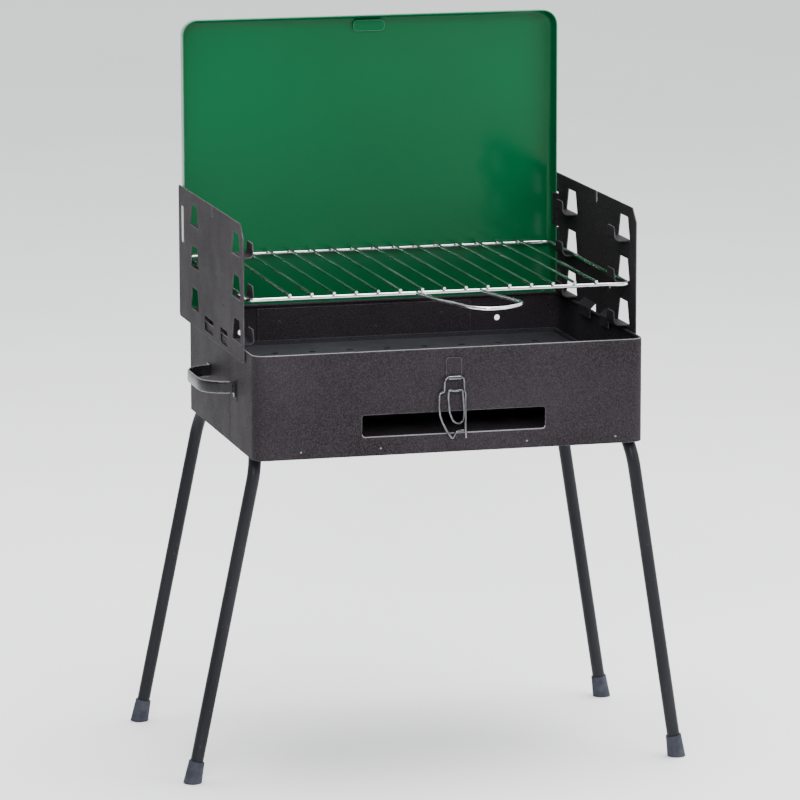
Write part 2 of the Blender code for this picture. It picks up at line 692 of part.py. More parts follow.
# ---------------------------------------------------------------- joint origins
LEFT_PIVOT = Vector((-LEG_PIVOT_X, 0, LEG_PIVOT_Z))
RIGHT_PIVOT = Vector((LEG_PIVOT_X, 0, LEG_PIVOT_Z))
LID_PIVOT = Vector((0, HINGE_Y, RIM_Z - HINGE_DROP))
LEVER_PIVOT = Vector((LATCH_X, LATCH_Y, RIM_Z - LATCH_DROP))
LOOP_PIVOT = Vector((LATCH_X, LOOP_Y, RIM_Z - LOOP_DROP))
ORIGINS = (
    ("leg_frame_left", LEFT_PIVOT),
    ("foot_left", LEFT_PIVOT),
    ("leg_frame_right", RIGHT_PIVOT),
    ("foot_right", RIGHT_PIVOT),
    ("lid_", LID_PIVOT),
    ("hinge_lid_leaf", LID_PIVOT),
    ("side_panel_left", Vector((-PANEL_INNER_X, 0, RIM_Z))),
    ("side_panel_right", Vector((PANEL_INNER_X, 0, RIM_Z))),
    ("grate_", Vector((0, 0, GRATE_Z))),
    ("charcoal_tray", Vector((0, 0, RIM_Z - TRAY_DROP))),
    ("latch_lever", LEVER_PIVOT),
    ("latch_loop", LOOP_PIVOT),
)


def move_origin(piece, point):
    """Put the object origin on a point without moving its surface."""
    piece.data.transform(Matrix.Translation(-point))
    piece.location = point


for piece in parts.objects:
    for prefix, point in ORIGINS:
        if piece.name.startswith(prefix):
            move_origin(piece, point)

# ---------------------------------------------------------------- origin at the middle of the footprint
bpy.context.view_layer.update()
graph = bpy.context.evaluated_depsgraph_get()
lows = [math.inf, math.inf, math.inf]
highs = [-math.inf, -math.inf, -math.inf]
for piece in parts.objects:
    shaped = piece.evaluated_get(graph)
    mesh = shaped.to_mesh()
    for vert in mesh.vertices:
        place = shaped.matrix_world @ vert.co
        for axis in range(3):
            lows[axis] = min(lows[axis], place[axis])
            highs[axis] = max(highs[axis], place[axis])
    shaped.to_mesh_clear()

shift = Vector((-(lows[0] + highs[0]) / 2, -(lows[1] + highs[1]) / 2, -lows[2]))
for piece in list(parts.objects) + list(tools.objects):
    piece.location = piece.location + shift
bpy.context.view_layer.update()
print("SHIFT", [round(value, 6) for value in shift])
print("SIZE", [round(high - low, 5) for low, high in zip(lows, highs)])
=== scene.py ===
import json
import math

import bmesh
import bpy
from mathutils import Matrix, Vector

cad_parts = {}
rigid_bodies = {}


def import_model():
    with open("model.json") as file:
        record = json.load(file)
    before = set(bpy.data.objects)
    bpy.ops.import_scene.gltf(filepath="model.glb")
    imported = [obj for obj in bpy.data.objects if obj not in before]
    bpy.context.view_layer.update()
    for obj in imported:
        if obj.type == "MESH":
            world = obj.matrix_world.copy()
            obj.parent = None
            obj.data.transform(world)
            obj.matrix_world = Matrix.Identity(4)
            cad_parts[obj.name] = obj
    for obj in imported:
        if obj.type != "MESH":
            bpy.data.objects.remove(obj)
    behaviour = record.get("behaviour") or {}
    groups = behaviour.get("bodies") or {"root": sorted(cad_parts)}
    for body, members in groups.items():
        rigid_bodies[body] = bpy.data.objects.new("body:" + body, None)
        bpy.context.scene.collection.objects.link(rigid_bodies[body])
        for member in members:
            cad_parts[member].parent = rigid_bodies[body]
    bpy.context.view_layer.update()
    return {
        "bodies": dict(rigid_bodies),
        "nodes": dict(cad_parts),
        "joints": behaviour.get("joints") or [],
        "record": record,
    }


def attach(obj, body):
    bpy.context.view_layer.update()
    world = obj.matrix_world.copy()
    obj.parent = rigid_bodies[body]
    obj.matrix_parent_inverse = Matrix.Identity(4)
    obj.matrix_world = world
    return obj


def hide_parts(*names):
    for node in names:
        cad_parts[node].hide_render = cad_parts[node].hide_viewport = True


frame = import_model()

# ---------------------------------------------------------------- camera
CAMERA_SPOT = (-1.25867, -4.80239, 1.28315)
CAMERA_YAW = math.radians(14.58)
CAMERA_PITCH = math.radians(-10.55)
CAMERA_ROLL = math.radians(-0.15)
LENS_MM = 224.1


def place_camera():
    """A long lens looking down at the grill from its front left."""
    data = bpy.data.cameras.new("view")
    data.lens = LENS_MM
    data.sensor_width = 36.0
    data.clip_end = 50.0
    camera = bpy.data.objects.new("view", data)
    bpy.context.scene.collection.objects.link(camera)
    ahead = Vector((math.sin(CAMERA_YAW) * math.cos(CAMERA_PITCH),
                    math.cos(CAMERA_YAW) * math.cos(CAMERA_PITCH), math.sin(CAMERA_PITCH)))
    level = Vector((math.cos(CAMERA_YAW), -math.sin(CAMERA_YAW), 0))
    up = level.cross(ahead)
    right = level * math.cos(CAMERA_ROLL) + up * math.sin(CAMERA_ROLL)
    up = right.cross(ahead)
    turn = Matrix((right, up, -ahead)).transposed().to_4x4()
    camera.matrix_world = Matrix.Translation(CAMERA_SPOT) @ turn
    bpy.context.scene.camera = camera


place_camera()

# ---------------------------------------------------------------- frame
# How many times finer the round shapes are than on the CAD nodes.
DETAIL = 2
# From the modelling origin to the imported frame's origin.
SHIFT = Vector((0.009383, 0.024013, 0.0))
# Names of the cutters, which are removed once every piece is baked.
TOOLS = set()
# The moving body that each CAD node belongs to.
BODY_OF = {node: body for body, nodes in frame["record"]["behaviour"]["bodies"].items()
           for node in nodes}

# ---------------------------------------------------------------- driving dimensions
GAP = 0.0003
SHEET = 0.001

RIM_Z = 0.434
BOX_HALF_X = 0.200
BOX_HALF_Y = 0.1525
BOX_HEIGHT = 0.105
BOX_CORNER = 0.013
BOX_BOTTOM_Z = RIM_Z - BOX_HEIGHT
HEM_RADIUS = 0.00155
REAR_HOLES = ((0.1325, 0.0255), (-0.1440, 0.0290))
REAR_HOLE_RADIUS = 0.003
PLATE_X = (-0.126, 0.103)
PLATE_DROP = (0.043, 0.005)
PLATE_DOMES = ((-0.103, 0.020), (0.0, 0.0295), (0.072, 0.018))
DOME_BASE_RADIUS = 0.0015
DOME_TOP_RADIUS = 0.0030
DOME_HEIGHT = 0.0012

VENT_LOW_X = -0.091
VENT_HIGH_X = 0.097
VENT_TOP = 0.064
VENT_BOTTOM = 0.0865
VENT_CORNER = 0.0030

FLOOR_RISE = 0.018
FLOOR_FLANGE = 0.012

LID_HALF_X = 0.2006
LID_SHEET = 0.0008
LID_FRONT_Y = 0.1612
LID_BACK_Y = 0.1804
LID_DROP = 0.0095
LID_TOP = 0.2965
LID_CORNER = 0.016
LID_FILLET = 0.005
LID_DRAFT = 0.0012
CATCH_X = (-0.016, 0.0176)
CATCH_RISE = (0.2785, 0.2900)
CATCH_DEPTH = 0.0032
CATCH_CORNER = 0.0050

HINGE_Y = 0.1558
HINGE_DROP = 0.0118
KNUCKLE_RADIUS = 0.0027
PIN_RADIUS = 0.00125
HINGE_X = 0.085
LEAF_HALF = 0.024
LEAF_CORNER = 0.003
KNUCKLE_HALF = 0.008
PIN_LENGTH = 0.0500
PIN_HEAD_RADIUS = 0.0021
PIN_HEAD_END_RADIUS = 0.0014
PIN_HEAD_LENGTH = 0.0012

PANEL_INNER_X = 0.2011
PANEL_FRONT_Y = -0.1175
PANEL_REAR_Y = 0.182
PANEL_TOP = 0.1245
PANEL_SKIRT = 0.013
PANEL_CHAMFER = 0.013
WINDOW_COLUMNS = {"left": (0.1070, -0.0860), "right": (0.1074, -0.0765)}
WINDOW_ROWS = ((0.0905, 0.1130), (0.0475, 0.0706), (0.0042, 0.0269))
WINDOW_TOP_HALF = 0.0130
WINDOW_BASE_HALF = 0.0199
HOOK_REACH = 0.0135
HOOK_RISE = 0.0135
HOOK_CURL = 0.004
HOOK_DROP = 0.0008
HOOK_HALVES = (0.0192, 0.0158, 0.0152, 0.0146, 0.0140, 0.0128, 0.0100)
# Each slot's name, its front and rear, its bottom and top above the rim, and its corner radius.
PANEL_SLOTS = (
    ("notch", 0.0172, 0.0209, 0.1128, 0.1400, 0.0018),
    ("lid_slot", 0.1570, 0.1712, 0.0665, 0.1045, 0.0020),
    ("rim_slot_rear", 0.0200, 0.0635, -0.0090, 0.0075, 0.0020),
    ("rim_slot_front", -0.0445, -0.0110, -0.0090, 0.0075, 0.0020),
)
RIM_TONGUES = (("rear", 0.0215, 0.0620), ("front", -0.0430, -0.0125))
TONGUE_SHEET = SHEET * 0.9

GRATE_HALF_X = 0.1960
GRATE_FRONT_Y = -0.1157
GRATE_REAR_Y = 0.1726
GRATE_CORNER = 0.008
FRAME_WIRE = 0.002
BAR_WIRE = 0.0015
BAR_COUNT = 15
BAR_FIRST_X = -0.155
BAR_PITCH = 0.0225
BAR_OVERHANG = 0.0025
GRIP_WIRE = 0.0018

TRAY_HALF_X = 0.1948
TRAY_HALF_Y = 0.1495
TRAY_DROP = 0.0443
TRAY_LIP = 0.006
TRAY_CORNER = 0.010
TRAY_HOLE_COLUMNS = 9
TRAY_HOLE_ROWS = 4
TRAY_HOLE_PITCH = (0.040, 0.068)
TRAY_HOLE_RADIUS = 0.0045
RAIL_LENGTH = 0.240
RAIL_HEIGHT = 0.012
RAIL_SHELF = 0.010

LEG_PIVOT_X = 0.1876
LEG_PIVOT_Z = BOX_BOTTOM_Z + 0.007
LEG_RADIUS = 0.0065
LEG_WALL = 0.001
LEG_SPLAY = {"left": math.radians(11.88), "right": math.radians(8.78)}
LEG_ENDS = {"left": (-0.119, 0.143), "right": (-0.143, 0.119)}
LEG_CORNER = 0.035
FOOT_TOP_RADIUS = 0.0079
FOOT_BASE_RADIUS = 0.00925
FOOT_LENGTH = 0.0235
FOOT_SOLE = 0.0055
FOOT_SLICE = 0.0012
CLIP_SPOTS = (("front", -0.060), ("rear", 0.060))
CLIP_WIDTH = 0.014
CLIP_TAB = 0.011

LATCH_X = 0.003
LATCH_WIRE = 0.0012
LATCH_Y = -0.1552
LATCH_DROP = 0.0303
LOOP_WIRE = 0.0011
LOOP_Y = -0.1582
CURL_X = LATCH_X - 0.0003
CURL_RADIUS = 0.0023
CURL_BORE = 0.00145

CARRY_FRONT_Y = -0.058
CARRY_REAR_Y = 0.042
CARRY_DROP = 0.047
CARRY_HALF_HEIGHT = 0.00565
CARRY_REACH = 0.0295
CARRY_STEPS = 14
CARRY_TAIL = 0.014

# ---------------------------------------------------------------- materials
class Paint:
    """A Principled material with helpers that add nodes to it."""

    def __init__(self, name, metallic, specular=0.5, coat=0.0, coat_roughness=0.05):
        self.material = bpy.data.materials.new(name)
        self.material.use_nodes = True
        self.tree = self.material.node_tree
        self.shader = self.tree.nodes["Principled BSDF"]
        self.shader.inputs["Metallic"].default_value = metallic
        self.shader.inputs["Specular IOR Level"].default_value = specular
        self.shader.inputs["Coat Weight"].default_value = coat
        self.shader.inputs["Coat Roughness"].default_value = coat_roughness
        self.spot = self.add("ShaderNodeTexCoord").outputs["Object"]

    def add(self, kind, **settings):
        node = self.tree.nodes.new(kind)
        for key, value in settings.items():
            setattr(node, key, value)
        return node

    def join(self, output, socket):
        self.tree.links.new(output, socket)

    def noise(self, scale, detail=3.0, stretch=(1, 1, 1)):
        """Fractal noise between 0 and 1, scale in features a metre."""
        mapping = self.add("ShaderNodeMapping")
        mapping.inputs["Scale"].default_value = stretch
        self.join(self.spot, mapping.inputs["Vector"])
        node = self.add("ShaderNodeTexNoise")
        node.inputs["Scale"].default_value = scale
        node.inputs["Detail"].default_value = detail
        self.join(mapping.outputs["Vector"], node.inputs["Vector"])
        return node.outputs["Fac"]

    def cells(self, scale, smoothness=0.6):
        """Smooth rounded cells, as in hammered paint."""
        node = self.add("ShaderNodeTexVoronoi", feature="SMOOTH_F1")
        node.inputs["Scale"].default_value = scale
        node.inputs["Smoothness"].default_value = smoothness
        self.join(self.spot, node.inputs["Vector"])
        return node.outputs["Distance"]

    def steps(self, value, low, high, to_low=0.0, to_high=1.0):
        """A value mapped from one range to another and held inside it."""
        node = self.add("ShaderNodeMapRange")
        self.join(value, node.inputs["Value"])
        for name, number in (("From Min", low), ("From Max", high),
                             ("To Min", to_low), ("To Max", to_high)):
            node.inputs[name].default_value = number
        return node.outputs["Result"]

    def mix(self, factor, first, second):
        """A colour between two colours or sockets."""
        node = self.add("ShaderNodeMix", data_type="RGBA")
        self.join(factor, node.inputs[0])
        for slot, colour in ((6, first), (7, second)):
            if isinstance(colour, tuple):
                node.inputs[slot].default_value = (*colour, 1.0)
            else:
                self.join(colour, node.inputs[slot])
        return node.outputs[2]

    def times(self, first, second):
        node = self.add("ShaderNodeMath", operation="MULTIPLY")
        self.join(first, node.inputs[0])
        if isinstance(second, float):
            node.inputs[1].default_value = second
        else:
            self.join(second, node.inputs[1])
        return node.outputs[0]

    def edges(self, radius, low=0.80, high=0.985):
        """1 along sharp edges and 0 on flat faces."""
        bevel = self.add("ShaderNodeBevel", samples=6)
        bevel.inputs["Radius"].default_value = radius
        geometry = self.add("ShaderNodeNewGeometry")
        dot = self.add("ShaderNodeVectorMath", operation="DOT_PRODUCT")
        self.join(bevel.outputs["Normal"], dot.inputs[0])
        self.join(geometry.outputs["Normal"], dot.inputs[1])
        return self.steps(dot.outputs["Value"], low, high, 1.0, 0.0)

    def bump(self, height, strength, distance):
        node = self.add("ShaderNodeBump")
        node.inputs["Strength"].default_value = strength
        node.inputs["Distance"].default_value = distance
        self.join(height, node.inputs["Height"])
        self.join(node.outputs["Normal"], self.shader.inputs["Normal"])
        return node

    def colour(self, output):
        self.join(output, self.shader.inputs["Base Color"])

    def roughness(self, output):
        self.join(output, self.shader.inputs["Roughness"])


def hammered(name, dark, light, speck, edge, rough_low, rough_high, strength, sheen=0.06):
    """Oven-hardened hammered paint: fine cells, blotches and a painted highlight along sharp edges,
    broken up by noise.
    """
    paint = Paint(name, 0.0, specular=sheen)
    blotch = paint.steps(paint.noise(9.0, 4.0), 0.30, 0.72)
    base = paint.mix(blotch, dark, light)
    cells = paint.cells(640.0, 0.45)
    grain = paint.steps(paint.noise(900.0, 2.0), 0.40, 0.68)
    base = paint.mix(paint.times(grain, 0.55), base, speck)
    # Painted highlight: sharp edges are lightened towards the edge colour, in noisy patches.
    edge_highlight = paint.times(paint.edges(0.0009), paint.steps(paint.noise(60.0), 0.30, 0.60, 0.35, 1.0))
    paint.colour(paint.mix(edge_highlight, base, edge))
    paint.roughness(paint.steps(paint.noise(30.0), 0.3, 0.7, rough_low, rough_high))
    paint.bump(cells, strength, 0.0006)
    return paint.material


def enamel():
    """Glossy green enamel with a faint orange peel, darker pooling and a painted highlight along sharp
    edges.
    """
    paint = Paint("green_enamel", 0.0, specular=0.16)
    drift = paint.steps(paint.noise(3.5, 2.0), 0.25, 0.75)
    base = paint.mix(drift, (0.0000, 0.082, 0.026), (0.0000, 0.100, 0.032))
    fleck = paint.steps(paint.noise(900.0, 2.0), 0.60, 0.78)
    base = paint.mix(paint.times(fleck, 0.12), base, (0.004, 0.15, 0.06))
    # Painted highlight: sharp edges are lightened towards a pale green.
    paint.colour(paint.mix(paint.times(paint.edges(0.0010), 0.8), base, (0.08, 0.36, 0.22)))
    paint.roughness(paint.steps(paint.noise(18.0), 0.3, 0.7, 0.10, 0.20))
    paint.bump(paint.noise(260.0, 2.0), 0.10, 0.0004)
    return paint.material


def plated(name, bright, dull, rough_low, rough_high, streak):
    """Plated wire: bright metal with drawn streaks, dull patches and fine pits."""
    paint = Paint(name, 1.0)
    patch = paint.steps(paint.noise(55.0, 4.0), 0.35, 0.75)
    base = paint.mix(patch, bright, dull)
    paint.colour(base)
    paint.roughness(paint.steps(paint.noise(120.0, 3.0, streak), 0.3, 0.7, rough_low, rough_high))
    paint.bump(paint.noise(700.0, 2.0, streak), 0.12, 0.0003)
    return paint.material


def tube_paint():
    """Semi-gloss grey paint on the legs with runs along the tube."""
    paint = Paint("leg_paint", 0.0, specular=0.12, coat=0.03, coat_roughness=0.20)
    streak = paint.steps(paint.noise(40.0, 4.0, (1.0, 1.0, 0.12)), 0.3, 0.7)
    base = paint.mix(streak, (0.0080, 0.0080, 0.0105), (0.0165, 0.0165, 0.0205))
    chip = paint.steps(paint.noise(330.0, 2.0), 0.70, 0.76)
    paint.colour(paint.mix(paint.times(chip, 0.5), base, (0.060, 0.060, 0.070)))
    paint.roughness(paint.steps(paint.noise(50.0), 0.3, 0.7, 0.34, 0.48))
    paint.bump(paint.noise(520.0, 3.0), 0.22, 0.0004)
    return paint.material


def rubber():
    """Matt rubber with dust and a fine grain."""
    paint = Paint("foot_rubber", 0.0, specular=0.3)
    dust = paint.steps(paint.noise(120.0, 5.0), 0.35, 0.75)
    paint.colour(paint.mix(dust, (0.022, 0.024, 0.035), (0.044, 0.048, 0.064)))
    paint.roughness(paint.steps(paint.noise(90.0), 0.3, 0.7, 0.68, 0.86))
    paint.bump(paint.noise(1500.0, 3.0), 0.25, 0.0003)
    return paint.material


def gloss_black():
    """Glossy black paint on the carry handle, with a painted highlight along sharp edges."""
    paint = Paint("handle_paint", 0.0, specular=0.22, coat=0.10, coat_roughness=0.10)
    drift = paint.steps(paint.noise(80.0, 3.0), 0.3, 0.7)
    base = paint.mix(drift, (0.007, 0.007, 0.009), (0.016, 0.016, 0.018))
    # Painted highlight: sharp edges are lightened towards a pale grey.
    paint.colour(paint.mix(paint.times(paint.edges(0.0008), 0.6), base, (0.09, 0.09, 0.10)))
    paint.roughness(paint.steps(paint.noise(60.0), 0.3, 0.7, 0.20, 0.34))
    paint.bump(paint.noise(420.0, 2.0), 0.15, 0.0004)
    return paint.material


def plain(name, first, second, roughness):
    """A softly varied stage surface."""
    paint = Paint(name, 0.0, specular=0.2)
    paint.colour(paint.mix(paint.steps(paint.noise(2.0), 0.3, 0.7), first, second))
    paint.shader.inputs["Roughness"].default_value = roughness
    return paint.material


# Each hammered paint's edge colour is a painted highlight along its sharp edges.
MATERIALS = {
    "hammered_paint": hammered("hammered_paint", dark=(0.0106, 0.0090, 0.0105),
                               light=(0.0234, 0.0200, 0.0232), speck=(0.0560, 0.0485, 0.0550),
                               edge=(0.170, 0.160, 0.168), rough_low=0.52, rough_high=0.60,
                               strength=0.85, sheen=0.04),
    # Pale paint used as a painted highlight on the rim line, vent lip, weld marks and handle edges.
    "worn_paint": hammered("worn_paint", dark=(0.090, 0.088, 0.094), light=(0.200, 0.196, 0.206),
                           speck=(0.24, 0.24, 0.25), edge=(0.34, 0.34, 0.35), rough_low=0.28,
                           rough_high=0.40, strength=0.40, sheen=0.30),
    "green_enamel": enamel(),
    "chrome_wire": plated("chrome_wire", bright=(0.80, 0.80, 0.82), dull=(0.40, 0.40, 0.43),
                          rough_low=0.12, rough_high=0.26, streak=(1.0, 0.08, 1.0)),
    "zinc_wire": plated("zinc_wire", bright=(0.20, 0.20, 0.215), dull=(0.040, 0.040, 0.045),
                        rough_low=0.10, rough_high=0.20, streak=(1.0, 1.0, 0.15)),
    "leg_paint": tube_paint(),
    "foot_rubber": rubber(),
    "tray_steel": hammered("tray_steel", dark=(0.0160, 0.0160, 0.0185), light=(0.0340, 0.0340, 0.0385),
                           speck=(0.055, 0.055, 0.062), edge=(0.090, 0.090, 0.100), rough_low=0.40,
                           rough_high=0.56, strength=0.35),
    "handle_paint": gloss_black(),
    "shadow": plain("shadow", first=(0.004, 0.004, 0.004), second=(0.008, 0.008, 0.008), roughness=0.9),
}


# ---------------------------------------------------------------- helpers
def link_mesh(name, bm):
    """Turn a bmesh into a linked object and free it."""
    mesh = bpy.data.meshes.new(name)
    bm.to_mesh(mesh)
    bm.free()
    made = bpy.data.objects.new("look_" + name, mesh)
    bpy.context.scene.collection.objects.link(made)
    return made


def apply_tool(target, tool, operation):
    """Cut or join the target with a tool, which is removed at the end."""
    change = target.modifiers.new("tool", "BOOLEAN")
    change.object = tool
    change.operation = operation
    change.solver = "EXACT"
    TOOLS.add(tool.name)


def bake(piece):
    """Replace a piece's mesh by its evaluated one and clear its modifiers."""
    graph = bpy.context.evaluated_depsgraph_get()
    mesh = bpy.data.meshes.new_from_object(piece.evaluated_get(graph), depsgraph=graph)
    piece.modifiers.clear()
    piece.data = mesh


def finish(piece, material, node=None, smooth=38.0):
    """Bake a piece, smooth it, paint it, and put it on its CAD body in place of its node."""
    name = node or piece.name.removeprefix("look_")
    bake(piece)
    mesh = piece.data
    mesh.shade_smooth()
    mesh.set_sharp_from_angle(angle=math.radians(smooth))
    mesh.materials.clear()
    mesh.materials.append(MATERIALS[material])
    mesh.transform(Matrix.Translation(SHIFT))
    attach(piece, BODY_OF[name])
    if node is None:
        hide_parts(name)
    return piece


def cube_between(low, high):
    """A bmesh box between two corners."""
    bm = bmesh.new()
    bmesh.ops.create_cube(bm, size=1.0)
    for vert in bm.verts:
        for axis in range(3):
            vert.co[axis] = low[axis] if vert.co[axis] < 0 else high[axis]
    return bm


def round_edges_along(bm, axis, radius, segments):
    """Round every edge that runs along one axis."""
    chosen = []
    for edge in bm.edges:
        run = edge.verts[0].co - edge.verts[1].co
        if abs(run[axis]) > 0.9 * run.length:
            chosen.append(edge)
    bmesh.ops.bevel(bm, geom=chosen, offset=radius, offset_type="OFFSET",
                    segments=segments * DETAIL, profile=0.5, affect="EDGES")


def block(name, low, high, radius=0.0, axis=2, segments=4):
    """A box, with its edges along one axis rounded if a radius is given."""
    bm = cube_between(low, high)
    if radius > 0:
        round_edges_along(bm, axis, radius, segments)
    return link_mesh(name, bm)


def drop_faces(bm, direction):
    """Delete the faces that look along a direction."""
    bm.normal_update()
    facing = [face for face in bm.faces if face.normal.dot(Vector(direction)) > 0.999]
    bmesh.ops.delete(bm, geom=facing, context="FACES")


def thicken(piece, thickness, offset):
    """Solidify an open surface; offset -1 grows inward, 0 both ways."""
    solid = piece.modifiers.new("thickness", "SOLIDIFY")
    solid.thickness = thickness
    solid.offset = offset
    solid.use_even_offset = True


def cylinder(name, centre, axis, radius, length, sides=12, radius_far=None):
    """A capped cylinder or cone centred on a point and lying along an axis."""
    bm = bmesh.new()
    far = radius if radius_far is None else radius_far
    bmesh.ops.create_cone(bm, cap_ends=True, cap_tris=False, segments=sides * DETAIL,
                          radius1=radius, radius2=far, depth=length)
    turn = Vector((0, 0, 1)).rotation_difference(Vector(axis)).to_matrix().to_4x4()
    bmesh.ops.transform(bm, matrix=Matrix.Translation(Vector(centre)) @ turn, verts=bm.verts)
    return link_mesh(name, bm)


def wire(name, points, radius, closed=False, resolution=2):
    """A round wire or rod through points, as a mesh."""
    curve = bpy.data.curves.new(name, "CURVE")
    curve.dimensions = "3D"
    curve.bevel_depth = radius
    curve.bevel_resolution = resolution + 4
    curve.use_fill_caps = not closed
    spline = curve.splines.new("POLY")
    spline.points.add(len(points) - 1)
    for slot, point in zip(spline.points, points):
        slot.co = (*point, 1.0)
    spline.use_cyclic_u = closed
    holder = bpy.data.objects.new(name + "_path", curve)
    bpy.context.scene.collection.objects.link(holder)
    bpy.context.view_layer.update()
    mesh = bpy.data.meshes.new_from_object(holder)
    bpy.data.objects.remove(holder, do_unlink=True)
    bm = bmesh.new()
    bm.from_mesh(mesh)
    bpy.data.meshes.remove(mesh)
    bmesh.ops.remove_doubles(bm, verts=bm.verts, dist=0.00001)
    bmesh.ops.recalc_face_normals(bm, faces=bm.faces)
    return link_mesh(name, bm)


def arc(centre, radius, start, stop, steps):
    """Points on an arc in a plane, angles in degrees."""
    points = []
    steps = steps * DETAIL
    for step in range(steps + 1):
        angle = math.radians(start + (stop - start) * step / steps)
        points.append((centre[0] + radius * math.cos(angle),
                       centre[1] + radius * math.sin(angle)))
    return points


def soften(points, radius, steps=3):
    """Round the corners of a 3D path, ends kept."""
    path = [Vector(point) for point in points]
    steps = steps * DETAIL
    result = [path[0]]
    for before, corner, after in zip(path, path[1:], path[2:]):
        reach = min(radius, 0.45 * (before - corner).length, 0.45 * (after - corner).length)
        start = corner + (before - corner).normalized() * reach
        stop = corner + (after - corner).normalized() * reach
        for step in range(steps + 1):
            t = step / steps
            result.append(start * (1 - t) ** 2 + corner * 2 * t * (1 - t) + stop * t ** 2)
    result.append(path[-1])
    return result


def between(values, u):
    """A value read from an even list at a fraction of its length."""
    spot = u * (len(values) - 1)
    low = min(int(spot), len(values) - 2)
    return values[low] + (values[low + 1] - values[low]) * (spot - low)


def sheet(name, across, profile, place, thickness):
    """A bent strip of sheet metal: a grid laid along a profile, then thickened."""
    steps = len(profile) - 1
    bm = bmesh.new()
    bmesh.ops.create_grid(bm, x_segments=steps, y_segments=across, size=0.5)
    for vert in bm.verts:
        step = round((vert.co.x + 0.5) * steps)
        vert.co = place(profile[step], step / steps, vert.co.y + 0.5)
    made = link_mesh(name, bm)
    thicken(made, thickness, 0.0)
    return made


def ring_path(half_x, low_y, high_y, corner, z, steps):
    """A rounded rectangle path lying flat."""
    points = []
    for cx, cy, start in ((half_x - corner, high_y - corner, 0),
                          (corner - half_x, high_y - corner, 90),
                          (corner - half_x, low_y + corner, 180),
                          (half_x - corner, low_y + corner, 270)):
        points.extend((x, y, z) for x, y in arc((cx, cy), corner, start, start + 90, steps))
    return points


# ---------------------------------------------------------------- box
def build_box_wall():
    """Four-sided wall with rounded corners, a rolled rim and a front vent slot."""
    inset = HEM_RADIUS + 0.00005
    bm = cube_between((-BOX_HALF_X, -BOX_HALF_Y, BOX_BOTTOM_Z),
                      (BOX_HALF_X, BOX_HALF_Y, RIM_Z - HEM_RADIUS))
    round_edges_along(bm, 2, BOX_CORNER, 5)
    drop_faces(bm, (0, 0, 1))
    drop_faces(bm, (0, 0, -1))
    wall = link_mesh("box_wall", bm)
    thicken(wall, SHEET, -1.0)
    hem = wire("rim_hem", ring_path(BOX_HALF_X - inset, inset - BOX_HALF_Y, BOX_HALF_Y - inset,
                                    BOX_CORNER - inset, RIM_Z - HEM_RADIUS, 5),
               HEM_RADIUS, closed=True)
    apply_tool(wall, hem, "UNION")
    reach = 0.004
    vent = block("vent_cutter", (VENT_LOW_X, -BOX_HALF_Y - reach, RIM_Z - VENT_BOTTOM),
                 (VENT_HIGH_X, reach - BOX_HALF_Y, RIM_Z - VENT_TOP), VENT_CORNER, 1, 4)
    apply_tool(wall, vent, "DIFFERENCE")
    for number, (x, drop) in enumerate(REAR_HOLES):
        hole = cylinder(f"rear_hole_cutter_{number}", (x, BOX_HALF_Y, RIM_Z - drop),
                        (0, 1, 0), REAR_HOLE_RADIUS, 2 * reach)
        apply_tool(wall, hole, "DIFFERENCE")
    return finish(wall, "hammered_paint")


def build_floor_pan():
    """Raised floor with a flange turned down all round."""
    clear = SHEET + GAP
    top = BOX_BOTTOM_Z + FLOOR_RISE + SHEET
    bm = cube_between((clear - BOX_HALF_X, clear - BOX_HALF_Y, top - FLOOR_FLANGE),
                      (BOX_HALF_X - clear, BOX_HALF_Y - clear, top))
    round_edges_along(bm, 2, BOX_CORNER - clear, 4)
    drop_faces(bm, (0, 0, -1))
    pan = link_mesh("floor_pan", bm)
    thicken(pan, SHEET, -1.0)
    return finish(pan, "hammered_paint")


def build_rails():
    """Two angle strips on the side walls that carry the charcoal tray."""
    web_x = BOX_HALF_X - SHEET - GAP - SHEET / 2
    shelf_z = RIM_Z - TRAY_DROP - GAP - SHEET / 2
    for side, sign in (("left", -1), ("right", 1)):
        profile = [(web_x, shelf_z - RAIL_HEIGHT), (web_x, shelf_z), (web_x - RAIL_SHELF, shelf_z)]
        rail = sheet(f"tray_rail_{side}", 1, profile,
                     lambda point, u, v: Vector(
                         (sign * point[0], RAIL_LENGTH * (v - 0.5), point[1])), SHEET)
        finish(rail, "hammered_paint")


def build_tray():
    """Shallow perforated charcoal tray."""
    base = RIM_Z - TRAY_DROP
    bm = cube_between((-TRAY_HALF_X, -TRAY_HALF_Y, base), (TRAY_HALF_X, TRAY_HALF_Y, base + TRAY_LIP))
    round_edges_along(bm, 2, TRAY_CORNER, 3)
    drop_faces(bm, (0, 0, 1))
    tray = link_mesh("charcoal_tray", bm)
    thicken(tray, SHEET, -1.0)
    bm = bmesh.new()
    for column in range(TRAY_HOLE_COLUMNS):
        for row in range(TRAY_HOLE_ROWS):
            x = (column - (TRAY_HOLE_COLUMNS - 1) / 2) * TRAY_HOLE_PITCH[0]
            y = (row - (TRAY_HOLE_ROWS - 1) / 2) * TRAY_HOLE_PITCH[1]
            spot = Matrix.Translation((x, y, base))
            bmesh.ops.create_cone(bm, cap_ends=True, segments=24, radius1=TRAY_HOLE_RADIUS,
                                  radius2=TRAY_HOLE_RADIUS, depth=0.006, matrix=spot)
    apply_tool(tray, link_mesh("tray_hole_cutters", bm), "DIFFERENCE")
    return finish(tray, "tray_steel")


